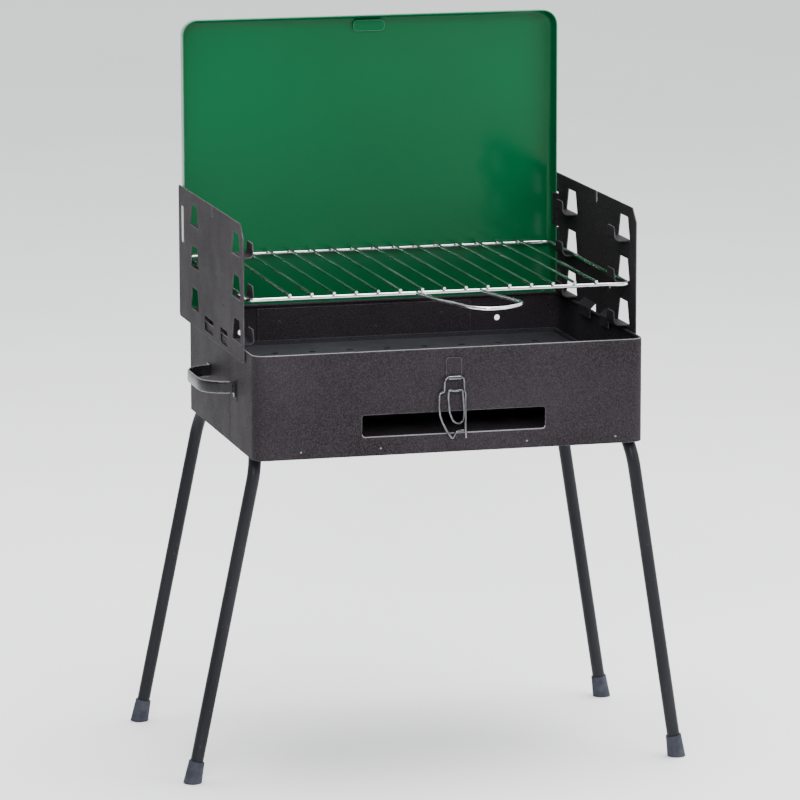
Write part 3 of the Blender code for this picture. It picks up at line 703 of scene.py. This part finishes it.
def build_rear_plate():
    """Wind plate on the inside of the rear wall, with three rivet domes."""
    face = BOX_HALF_Y - SHEET - GAP
    plate = block("rear_plate", (PLATE_X[0], face - SHEET, RIM_Z - PLATE_DROP[0]),
                  (PLATE_X[1], face, RIM_Z - PLATE_DROP[1]))
    for number, (x, drop) in enumerate(PLATE_DOMES):
        dome = cylinder(f"rear_dome_{number}", (x, face - SHEET, RIM_Z - drop), (0, 1, 0),
                        DOME_BASE_RADIUS, DOME_HEIGHT, 10, DOME_TOP_RADIUS)
        apply_tool(plate, dome, "UNION")
    return finish(plate, "hammered_paint")


# ---------------------------------------------------------------- lid and hinges
def build_lid():
    """Shallow pressed pan standing on its rear hinges, open face forward."""
    low = RIM_Z - LID_DROP
    high = RIM_Z + LID_TOP
    bm = cube_between((-LID_HALF_X, LID_FRONT_Y, low), (LID_HALF_X, LID_BACK_Y, high))
    middle = (low + high) / 2
    for vert in bm.verts:
        if vert.co.y > (LID_FRONT_Y + LID_BACK_Y) / 2:
            vert.co.x -= math.copysign(LID_DRAFT, vert.co.x)
            vert.co.z -= math.copysign(LID_DRAFT, vert.co.z - middle)
    round_edges_along(bm, 1, LID_CORNER, 6)
    bm.normal_update()
    back = [face for face in bm.faces if face.normal.y > 0.999]
    bmesh.ops.bevel(bm, geom=list(back[0].edges), offset=LID_FILLET, offset_type="OFFSET",
                    segments=8, profile=0.5, affect="EDGES")
    drop_faces(bm, (0, -1, 0))
    lid = link_mesh("lid_pan", bm)
    thicken(lid, LID_SHEET, -1.0)
    finish(lid, "green_enamel")
    inner = LID_BACK_Y - LID_SHEET - GAP
    catch = block("lid_catch", (CATCH_X[0], inner - CATCH_DEPTH, RIM_Z + CATCH_RISE[0]),
                  (CATCH_X[1], inner, RIM_Z + CATCH_RISE[1]), CATCH_CORNER, 1, 4)
    return finish(catch, "green_enamel")


def build_hinges():
    """Two three-knuckle hinges: a leaf on the box, a leaf under the lid and a pin."""
    pin_z = RIM_Z - HINGE_DROP
    leaf_inner = BOX_HALF_Y + GAP
    bore_radius = PIN_RADIUS + 0.00010
    for side, x in (("left", -HINGE_X), ("right", HINGE_X)):
        box_leaf = block(f"hinge_box_leaf_{side}", (x - LEAF_HALF, leaf_inner, pin_z - 0.022),
                         (x + LEAF_HALF, leaf_inner + SHEET, pin_z - 0.0035), LEAF_CORNER, 1, 2)
        riser = block(f"hinge_riser_{side}",
                      (x - KNUCKLE_HALF + 0.0004, leaf_inner + 0.0001, pin_z - 0.006),
                      (x + KNUCKLE_HALF - 0.0004, leaf_inner + 0.0009, pin_z - 0.0008))
        apply_tool(box_leaf, riser, "UNION")
        barrel = cylinder(f"hinge_box_knuckle_{side}", (x, HINGE_Y, pin_z), (1, 0, 0),
                          KNUCKLE_RADIUS, 2 * KNUCKLE_HALF, 14)
        apply_tool(box_leaf, barrel, "UNION")
        bore = cylinder(f"hinge_bore_{side}", (x, HINGE_Y, pin_z), (1, 0, 0),
                        bore_radius, 0.060, 12)
        apply_tool(box_leaf, bore, "DIFFERENCE")
        finish(box_leaf, "hammered_paint")

        leaf_top = RIM_Z - LID_DROP - GAP
        lid_leaf = block(f"hinge_lid_leaf_{side}", (x - LEAF_HALF, HINGE_Y + 0.0017, leaf_top - SHEET),
                         (x + LEAF_HALF, LID_BACK_Y - 0.008, leaf_top))
        notch = block(f"hinge_notch_{side}", (x - KNUCKLE_HALF - GAP, HINGE_Y - 0.002, leaf_top - 0.003),
                      (x + KNUCKLE_HALF + GAP, HINGE_Y + KNUCKLE_RADIUS + GAP, leaf_top + 0.001))
        apply_tool(lid_leaf, notch, "DIFFERENCE")
        outer = LEAF_HALF - 0.0006
        inner = KNUCKLE_HALF + GAP
        for number, sign in enumerate((-1, 1)):
            knuckle = cylinder(f"hinge_lid_knuckle_{side}_{number}",
                               (x + sign * (outer + inner) / 2, HINGE_Y, pin_z), (1, 0, 0),
                               KNUCKLE_RADIUS, outer - inner, 14)
            apply_tool(lid_leaf, knuckle, "UNION")
        apply_tool(lid_leaf, bore, "DIFFERENCE")
        finish(lid_leaf, "hammered_paint")

        pin = cylinder(f"hinge_pin_{side}", (x, HINGE_Y, pin_z), (1, 0, 0),
                       PIN_RADIUS, PIN_LENGTH, 12)
        for number, sign in enumerate((-1, 1)):
            head = cylinder(f"hinge_pin_head_{side}_{number}",
                            (x + sign * 0.0247, HINGE_Y, pin_z), (sign, 0, 0),
                            PIN_HEAD_RADIUS, PIN_HEAD_LENGTH, 12, PIN_HEAD_END_RADIUS)
            apply_tool(pin, head, "UNION")
        finish(pin, "zinc_wire")


# ---------------------------------------------------------------- side panels
def build_panel(side, sign):
    """Side panel with six hooked windows, a lid tongue and two rim tongues."""
    inner = PANEL_INNER_X
    outer = PANEL_INNER_X + SHEET
    mid = (inner + outer) / 2
    near, far = sorted((sign * inner, sign * outer))

    bm = cube_between((near, PANEL_FRONT_Y, RIM_Z - PANEL_SKIRT),
                      (far, PANEL_REAR_Y, RIM_Z + PANEL_TOP))
    front_top = []
    others = []
    for edge in bm.edges:
        run = edge.verts[0].co - edge.verts[1].co
        if abs(run.x) < 0.9 * run.length:
            continue
        spot = edge.verts[0].co
        if spot.y < 0 and spot.z > RIM_Z:
            front_top.append(edge)
        else:
            others.append(edge)
    bmesh.ops.bevel(bm, geom=front_top, offset=PANEL_CHAMFER, offset_type="OFFSET",
                    segments=1, profile=0.5, affect="EDGES")
    others = [edge for edge in others if edge.is_valid]
    bmesh.ops.bevel(bm, geom=others, offset=0.004, offset_type="OFFSET",
                    segments=2, profile=0.5, affect="EDGES")
    panel = link_mesh(f"side_panel_{side}", bm)

    cut_low, cut_high = sorted((sign * (inner - 0.003), sign * (outer + 0.003)))
    rows = bmesh.new()
    for centre in WINDOW_COLUMNS[side]:
        for low, high in WINDOW_ROWS:
            made = bmesh.ops.create_cube(rows, size=1.0)
            for vert in made["verts"]:
                upper = vert.co.z > 0
                half = WINDOW_TOP_HALF if upper else WINDOW_BASE_HALF
                vert.co.x = cut_low if vert.co.x < 0 else cut_high
                vert.co.y = centre + math.copysign(half, vert.co.y)
                vert.co.z = RIM_Z + (high if upper else low)
    apply_tool(panel, link_mesh(f"window_cutters_{side}", rows), "DIFFERENCE")

    for name, low_y, high_y, low_z, high_z, corner in PANEL_SLOTS:
        slot = block(f"{name}_cutter_{side}", (cut_low, low_y, RIM_Z + low_z),
                     (cut_high, high_y, RIM_Z + high_z), corner, 0, 3)
        apply_tool(panel, slot, "DIFFERENCE")
    mark = cylinder(f"mark_cutter_{side}", (sign * mid, -0.028, RIM_Z + 0.032), (1, 0, 0),
                    0.002, 0.008, 10)
    apply_tool(panel, mark, "DIFFERENCE")

    number = 0
    for centre in WINDOW_COLUMNS[side]:
        for low, high in WINDOW_ROWS:
            trough = RIM_Z + low - HOOK_DROP
            upright = inner - HOOK_REACH
            bend = arc((upright + HOOK_CURL, trough + HOOK_CURL), HOOK_CURL, 270, 180, 3)
            profile = [(mid, trough)] + bend
            profile += [(upright, trough + HOOK_RISE - 0.003), (upright, trough + HOOK_RISE)]

            def place(point, u, v, centre=centre):
                half = between(HOOK_HALVES, u)
                return Vector((sign * point[0], centre + (2 * v - 1) * half, point[1]))

            hook = sheet(f"hook_{side}_{number}", 1, profile, place, SHEET)
            apply_tool(panel, hook, "UNION")
            number += 1

    lid_tongue = sheet(
        f"lid_tongue_{side}", 1,
        [(mid, 0.1555), (mid - 0.0009, 0.1572), (mid - 0.0028, 0.1604), (mid - 0.0028, 0.1700)],
        lambda point, u, v: Vector((sign * point[0], point[1], RIM_Z + 0.0680 + 0.035 * v)),
        TONGUE_SHEET)
    apply_tool(panel, lid_tongue, "UNION")
    tongue_x = BOX_HALF_X - 2 * HEM_RADIUS - 0.0011
    for name, low_y, high_y in RIM_TONGUES:
        tongue = sheet(
            f"rim_tongue_{name}_{side}", 1,
            [(mid, 0.0090), (mid - 0.0002, 0.0070), (tongue_x, 0.0016), (tongue_x, -0.0080)],
            lambda point, u, v, a=low_y, b=high_y: Vector(
                (sign * point[0], a + (b - a) * v, RIM_Z + point[1])),
            TONGUE_SHEET)
        apply_tool(panel, tongue, "UNION")
    return finish(panel, "hammered_paint")


# ---------------------------------------------------------------- cooking grate
GRATE_Z = RIM_Z + WINDOW_ROWS[1][0] - HOOK_DROP + SHEET / 2 + FRAME_WIRE + GAP


def build_grate():
    """Wire rim, straight bars across it and a loop handle at the front."""
    frame = wire("grate_frame", ring_path(GRATE_HALF_X, GRATE_FRONT_Y, GRATE_REAR_Y,
                                          GRATE_CORNER, GRATE_Z, 4), FRAME_WIRE, closed=True)
    finish(frame, "chrome_wire")
    bar_z = GRATE_Z + FRAME_WIRE + BAR_WIRE + GAP
    front = GRATE_FRONT_Y - BAR_OVERHANG
    rear = GRATE_REAR_Y + BAR_OVERHANG
    for number in range(BAR_COUNT):
        x = BAR_FIRST_X + number * BAR_PITCH
        bar = cylinder(f"grate_bar_{number + 1:02d}", (x, (front + rear) / 2, bar_z), (0, 1, 0),
                       BAR_WIRE, rear - front, 8)
        finish(bar, "chrome_wire")
    start = GRATE_FRONT_Y - FRAME_WIRE - GAP
    outline = [(-0.0255, start), (-0.0240, -0.126), (-0.0170, -0.165), (-0.0045, -0.193),
               (0.0010, -0.215), (0.0170, -0.2295), (0.0360, -0.2260), (0.0530, -0.2140),
               (0.0595, -0.2020), (0.0500, -0.166), (0.0420, -0.138), (0.0400, start)]
    path = soften([(x, y + GAP, GRATE_Z + 0.0005) for x, y in outline], 0.007, 2)
    return finish(wire("grate_handle", path, GRIP_WIRE), "chrome_wire")


# ---------------------------------------------------------------- legs
def build_leg(side, sign):
    """Folding tube frame with two rubber feet."""
    splay = LEG_SPLAY[side]
    pivot = Vector((sign * LEG_PIVOT_X, 0, LEG_PIVOT_Z))
    down = Vector((sign * math.sin(splay), 0, -math.cos(splay)))
    drop = LEG_PIVOT_Z + FOOT_SLICE
    reach = drop / math.cos(splay)
    end = reach - FOOT_SOLE - GAP
    low_y, high_y = LEG_ENDS[side]

    flat = [(end, low_y)]
    flat += [(x, y) for x, y in arc((LEG_CORNER, low_y + LEG_CORNER), LEG_CORNER, 270, 180, 5)]
    flat += [(x, y) for x, y in arc((LEG_CORNER, high_y - LEG_CORNER), LEG_CORNER, 180, 90, 5)]
    flat += [(end, high_y)]
    path = [pivot + down * along + Vector((0, y, 0)) for along, y in flat]
    frame = wire(f"leg_frame_{side}", path, LEG_RADIUS, resolution=4)
    longer = list(path)
    longer[0] = path[0] + down * 0.002
    longer[-1] = path[-1] + down * 0.002
    core = wire(f"leg_core_{side}", longer, LEG_RADIUS - LEG_WALL, resolution=3)
    apply_tool(frame, core, "DIFFERENCE")
    finish(frame, "leg_paint")

    floor_cutter = block(f"floor_cutter_{side}", (-0.35, -0.25, -0.03), (0.35, 0.25, 0.0))
    for name, y in (("front", low_y), ("rear", high_y)):
        tip = pivot + down * reach + Vector((0, y, 0))
        centre = tip - down * (FOOT_LENGTH / 2)
        foot = cylinder(f"foot_{side}_{name}", centre, down, FOOT_TOP_RADIUS, FOOT_LENGTH, 16,
                        FOOT_BASE_RADIUS)
        bore = cylinder(f"foot_bore_{side}_{name}", tip - down * (FOOT_SOLE + 0.020), down,
                        LEG_RADIUS + GAP, 0.040, 16)
        apply_tool(foot, bore, "DIFFERENCE")
        apply_tool(foot, floor_cutter, "DIFFERENCE")
        finish(foot, "foot_rubber")


def build_clips():
    """Four saddle clips under the floor pan that hold the pivot bars."""
    hold = LEG_RADIUS + GAP + SHEET / 2
    top = BOX_BOTTOM_Z + FLOOR_RISE - GAP - SHEET / 2
    for side, sign in (("left", -1), ("right", 1)):
        for name, y in CLIP_SPOTS:
            saddle = arc((LEG_PIVOT_X, LEG_PIVOT_Z), hold, 180, 360, 6)
            profile = [(LEG_PIVOT_X - hold - CLIP_TAB, top), (LEG_PIVOT_X - hold, top)] + saddle
            profile += [(LEG_PIVOT_X + hold, top)]
            clip = sheet(f"leg_clip_{side}_{name}", 1, profile,
                         lambda point, u, v: Vector(
                             (sign * point[0], y + CLIP_WIDTH * (v - 0.5), point[1])), SHEET)
            finish(clip, "hammered_paint")


# ---------------------------------------------------------------- latch and carry handle
def build_latch():
    """Bracket on the front wall, a swinging wire lever and the wire loop on it."""
    pivot_z = RIM_Z - LATCH_DROP
    face = -BOX_HALF_Y - GAP
    bracket = block("latch_bracket", (LATCH_X - 0.0085, face - SHEET, pivot_z + 0.0005),
                    (LATCH_X + 0.0075, face, RIM_Z - 0.010), 0.0020, 1, 2)
    curl = cylinder("latch_curl", (CURL_X, LATCH_Y, pivot_z), (1, 0, 0), CURL_RADIUS, 0.0120, 12)
    apply_tool(bracket, curl, "UNION")
    bore = cylinder("latch_bore", (LATCH_X, LATCH_Y, pivot_z), (1, 0, 0), CURL_BORE, 0.0200, 12)
    apply_tool(bracket, bore, "DIFFERENCE")
    finish(bracket, "hammered_paint")

    lever = [(0.0146, 0.0912), (0.0139, 0.0840), (0.0139, 0.0460), (0.0127, 0.0440),
             (0.0127, 0.0330), (0.0110, LATCH_DROP), (-0.0055, LATCH_DROP), (-0.0075, 0.0330),
             (-0.0075, 0.0440), (-0.0127, 0.0455), (-0.0130, 0.0590), (-0.0120, 0.0680),
             (-0.0095, 0.0750), (-0.0055, 0.0830), (-0.0020, 0.0885), (0.0005, 0.0916),
             (0.0032, 0.0865), (0.0055, 0.0838), (0.0122, 0.0836)]
    path = soften([(x, LATCH_Y, RIM_Z - drop) for x, drop in lever], 0.0018, 2)
    finish(wire("latch_lever", path, LATCH_WIRE), "zinc_wire")

    loop = [(0.0101, 0.0420), (0.0030, 0.0432), (-0.0042, 0.0420), (-0.0045, 0.0500),
            (-0.0030, 0.0650), (0.0005, 0.0735), (0.0060, 0.0762), (0.0105, 0.0735),
            (0.0118, 0.0650), (0.0108, 0.0500)]
    path = [Vector((x, LOOP_Y, RIM_Z - drop)) for x, drop in loop]
    ends = [(path[0] + path[-1]) / 2]
    rounded = soften(ends + path + ends, 0.0022, 2)
    return finish(wire("latch_loop", rounded[:-1], LOOP_WIRE, closed=True), "zinc_wire")


def carry_bow(along):
    """How far the carry handle stands off the wall, from -1 at one foot to 1 at the other."""
    return CARRY_REACH * max(0.0, 1.0 - abs(along) ** 5) ** 0.7


def build_carry_handle():
    """Bowed strap handle with turned edges on the left wall."""
    wall = -BOX_HALF_X - GAP - SHEET / 2
    middle = (CARRY_FRONT_Y + CARRY_REAR_Y) / 2
    half = (CARRY_REAR_Y - CARRY_FRONT_Y) / 2
    bow = [(0.0, CARRY_FRONT_Y - CARRY_TAIL)]
    for step in range(CARRY_STEPS + 1):
        along = math.sin(math.pi * (step / CARRY_STEPS - 0.5))
        bow.append((carry_bow(along), middle + half * along))
    bow.append((0.0, CARRY_REAR_Y + CARRY_TAIL))
    section = ((-1.0, 0.0016), (-0.88, 0.0004), (-0.60, 0.0),
               (0.60, 0.0), (0.88, 0.0004), (1.0, 0.0016))

    def place(point, u, v):
        height, tuck = section[round(v * (len(section) - 1))]
        inward = tuck * min(1.0, point[0] / 0.020)
        return Vector((wall - point[0] + inward, point[1],
                       RIM_Z - CARRY_DROP + height * CARRY_HALF_HEIGHT))

    strap = sheet("carry_handle", len(section) - 1, bow, place, SHEET)
    return finish(strap, "handle_paint")


# ---------------------------------------------------------------- extra surface detail
SPOT_WELD_X = (-0.153, -0.072, 0.078, 0.170)
SPOT_WELD_DROP = 0.098
SPOT_WELD_RADIUS = 0.0012
VENT_LIP_WIRE = 0.0006
RIM_LINE_WIRE = 0.00053
HANDLE_EDGE_WIRE = 0.00065
LID_BEAD_WIRE = 0.0006


def build_spot_welds():
    """Shallow weld marks on the front wall, joined in one piece, in pale paint as a painted highlight.
    """
    bm = bmesh.new()
    turn = Matrix.Rotation(math.radians(90), 4, "X")
    for x in SPOT_WELD_X:
        spot = Matrix.Translation((x, -BOX_HALF_Y - 0.00005, RIM_Z - SPOT_WELD_DROP))
        bmesh.ops.create_cone(bm, cap_ends=True, segments=16, radius1=SPOT_WELD_RADIUS,
                              radius2=SPOT_WELD_RADIUS / 2, depth=0.0004, matrix=spot @ turn)
    return finish(link_mesh("spot_welds", bm), "worn_paint", node="box_wall")


def build_vent_lip():
    """Turned edge along the bottom of the vent slot, in pale paint as a painted highlight."""
    low = RIM_Z - VENT_BOTTOM
    corner = VENT_CORNER - 0.0003
    path = []
    for cx, start in ((VENT_LOW_X + VENT_CORNER, 180), (VENT_HIGH_X - VENT_CORNER, 270)):
        path.extend((x, -BOX_HALF_Y + 0.0004, z)
                    for x, z in arc((cx, low + VENT_CORNER), corner, start, start + 90, 4))
    return finish(wire("vent_lip", path, VENT_LIP_WIRE), "worn_paint", node="box_wall")


def build_rim_line():
    """A painted highlight in pale paint along the top of the box's rolled rim."""
    inset = HEM_RADIUS / 2
    path = ring_path(BOX_HALF_X - inset, inset - BOX_HALF_Y, BOX_HALF_Y - inset,
                     BOX_CORNER - inset, RIM_Z - inset, 6)
    line = wire("rim_line", path, RIM_LINE_WIRE, closed=True)
    return finish(line, "worn_paint", node="box_wall")


def build_latch_sleeve():
    """Bright wrapped edge of the latch bracket."""
    spot = (CURL_X, LATCH_Y, RIM_Z - LATCH_DROP)
    sleeve = cylinder("latch_sleeve", spot, (1, 0, 0), CURL_RADIUS + 0.00012, 0.0124, 14)
    bore = cylinder("latch_sleeve_bore", spot, (1, 0, 0), CURL_RADIUS + 0.00002, 0.0200, 14)
    apply_tool(sleeve, bore, "DIFFERENCE")
    return finish(sleeve, "zinc_wire", node="latch_bracket")


def build_handle_collar():
    """Raised collar where the front end of the carry handle enters the wall."""
    wall = -BOX_HALF_X
    collar = block("handle_collar", (wall - 0.0022, CARRY_FRONT_Y - 0.0165, RIM_Z - CARRY_DROP - 0.0072),
                   (wall + 0.0004, CARRY_FRONT_Y - 0.0115, RIM_Z - CARRY_DROP + 0.0072), 0.0012, 0, 2)
    slot = block("handle_slot", (wall - 0.0004, CARRY_FRONT_Y - 0.0205, RIM_Z - CARRY_DROP - 0.0110),
                 (wall + 0.0002, CARRY_FRONT_Y - 0.0185, RIM_Z - CARRY_DROP + 0.0110), 0.0004, 0, 2)
    finish(slot, "shadow", node="box_wall")
    return finish(collar, "handle_paint", node="carry_handle")


def build_handle_edges():
    """Turned edges along the carry handle, in pale paint as a painted highlight."""
    steps = 32
    wall = -BOX_HALF_X - GAP - SHEET / 2
    middle = (CARRY_FRONT_Y + CARRY_REAR_Y) / 2
    half = (CARRY_REAR_Y - CARRY_FRONT_Y) / 2
    for name, side in (("upper", 1), ("lower", -1)):
        path = []
        for step in range(1, steps):
            along = math.sin(math.pi * (step / steps - 0.5))
            out = carry_bow(along)
            inward = 0.0014 * min(1.0, out / 0.020)
            path.append((wall - out + inward, middle + half * along,
                         RIM_Z - CARRY_DROP + side * CARRY_HALF_HEIGHT))
        edge = wire(f"handle_edge_{name}", path, HANDLE_EDGE_WIRE)
        finish(edge, "worn_paint", node="carry_handle")


def build_wall_seam():
    """Lapped seam strip down the left wall."""
    wall = -BOX_HALF_X
    seam = block("wall_seam", (wall - 0.00035, -0.040, BOX_BOTTOM_Z + 0.0004),
                 (wall + 0.0004, -0.012, RIM_Z - 0.0034), 0.0012, 0, 2)
    return finish(seam, "hammered_paint", node="box_wall")


def build_lid_bead():
    """Rolled bead round the lid's rim."""
    low = RIM_Z - LID_DROP
    high = RIM_Z + LID_TOP
    inset = 0.00062
    corner = LID_CORNER - inset
    path = []
    for cx, cz, start in ((LID_HALF_X - LID_CORNER, high - LID_CORNER, 0),
                          (LID_CORNER - LID_HALF_X, high - LID_CORNER, 90),
                          (LID_CORNER - LID_HALF_X, low + LID_CORNER, 180),
                          (LID_HALF_X - LID_CORNER, low + LID_CORNER, 270)):
        path.extend((x, LID_FRONT_Y + 0.0007, z)
                    for x, z in arc((cx, cz), corner, start, start + 90, 6))
    bead = wire("lid_bead", path, LID_BEAD_WIRE, closed=True)
    return finish(bead, "green_enamel", node="lid_pan")


build_box_wall()
build_floor_pan()
build_rails()
build_tray()
build_rear_plate()
build_lid()
build_hinges()
build_panel("left", -1)
build_panel("right", 1)
build_grate()
build_leg("left", -1)
build_leg("right", 1)
build_clips()
build_latch()
build_carry_handle()
build_spot_welds()
build_vent_lip()
build_lid_bead()
build_rim_line()
build_latch_sleeve()
build_handle_collar()
build_handle_edges()
build_wall_seam()
for name in sorted(TOOLS):
    bpy.data.objects.remove(bpy.data.objects[name], do_unlink=True)


# ---------------------------------------------------------------- stage and light
FLOOR_WIDTH = 30.0
FLOOR_LENGTH = 18.0
SWEEP_START = 0.78
SWEEP_HEIGHT = 5.0
FLOOR_GAP = 0.0002
LIGHT_TARGET = (0.0, 0.0, 0.40)
# The room's brightness along two directions: from and to where, and from and to what strength.
ROOM_RAMPS = (("Y", (-0.9, 0.8, 0.80, 3.40)), ("X", (-0.25, 0.12, 0.26, 1.0)))


def build_stage():
    """A pale floor that curves up into the backdrop far behind."""
    bm = bmesh.new()
    bmesh.ops.create_grid(bm, x_segments=2, y_segments=40, size=0.5)
    for vert in bm.verts:
        along = vert.co.y + 0.5
        sweep = max(0.0, (along - SWEEP_START) / (1.0 - SWEEP_START))
        vert.co.x *= FLOOR_WIDTH
        vert.co.y = FLOOR_LENGTH * (along - 0.5)
        vert.co.z = SWEEP_HEIGHT * sweep ** 2 - FLOOR_GAP
    mesh = bpy.data.meshes.new("floor")
    bm.to_mesh(mesh)
    bm.free()
    mesh.shade_smooth()
    mesh.materials.append(plain("floor", (0.90, 0.90, 0.90), (0.94, 0.94, 0.94), 0.85))
    floor = bpy.data.objects.new("floor", mesh)
    bpy.context.scene.collection.objects.link(floor)


def add_light(name, spot, size, power):
    """A soft rectangular light aimed at the middle of the grill."""
    data = bpy.data.lights.new(name, "AREA")
    data.shape = "RECTANGLE"
    data.size, data.size_y = size
    data.energy = power
    light = bpy.data.objects.new(name, data)
    light.location = spot
    aim = Vector(LIGHT_TARGET) - Vector(spot)
    light.rotation_euler = aim.to_track_quat("-Z", "Y").to_euler()
    bpy.context.scene.collection.objects.link(light)


def light_stage():
    """Large soft boxes left, right and overhead in a pale room."""
    world = bpy.data.worlds.new("room")
    bpy.context.scene.world = world
    world.use_nodes = True
    background = world.node_tree.nodes["Background"]
    background.inputs["Color"].default_value = (0.96, 0.98, 1.0, 1.0)
    tree = world.node_tree
    spot = tree.nodes.new("ShaderNodeTexCoord")
    split = tree.nodes.new("ShaderNodeSeparateXYZ")
    tree.links.new(spot.outputs["Generated"], split.inputs["Vector"])
    product = tree.nodes.new("ShaderNodeMath")
    product.operation = "MULTIPLY"
    for number, (axis, span) in enumerate(ROOM_RAMPS):
        ramp = tree.nodes.new("ShaderNodeMapRange")
        for label, value in zip(("From Min", "From Max", "To Min", "To Max"), span):
            ramp.inputs[label].default_value = value
        tree.links.new(split.outputs[axis], ramp.inputs["Value"])
        tree.links.new(ramp.outputs["Result"], product.inputs[number])
    tree.links.new(product.outputs[0], background.inputs["Strength"])
    add_light("key", spot=(-1.1, -3.6, 2.5), size=(1.6, 1.6), power=120.0)
    add_light("fill", spot=(2.8, -2.2, 1.6), size=(1.6, 2.2), power=45.0)
    add_light("top", spot=(0.2, 0.2, 3.0), size=(2.4, 2.0), power=130.0)


build_stage()
light_stage()
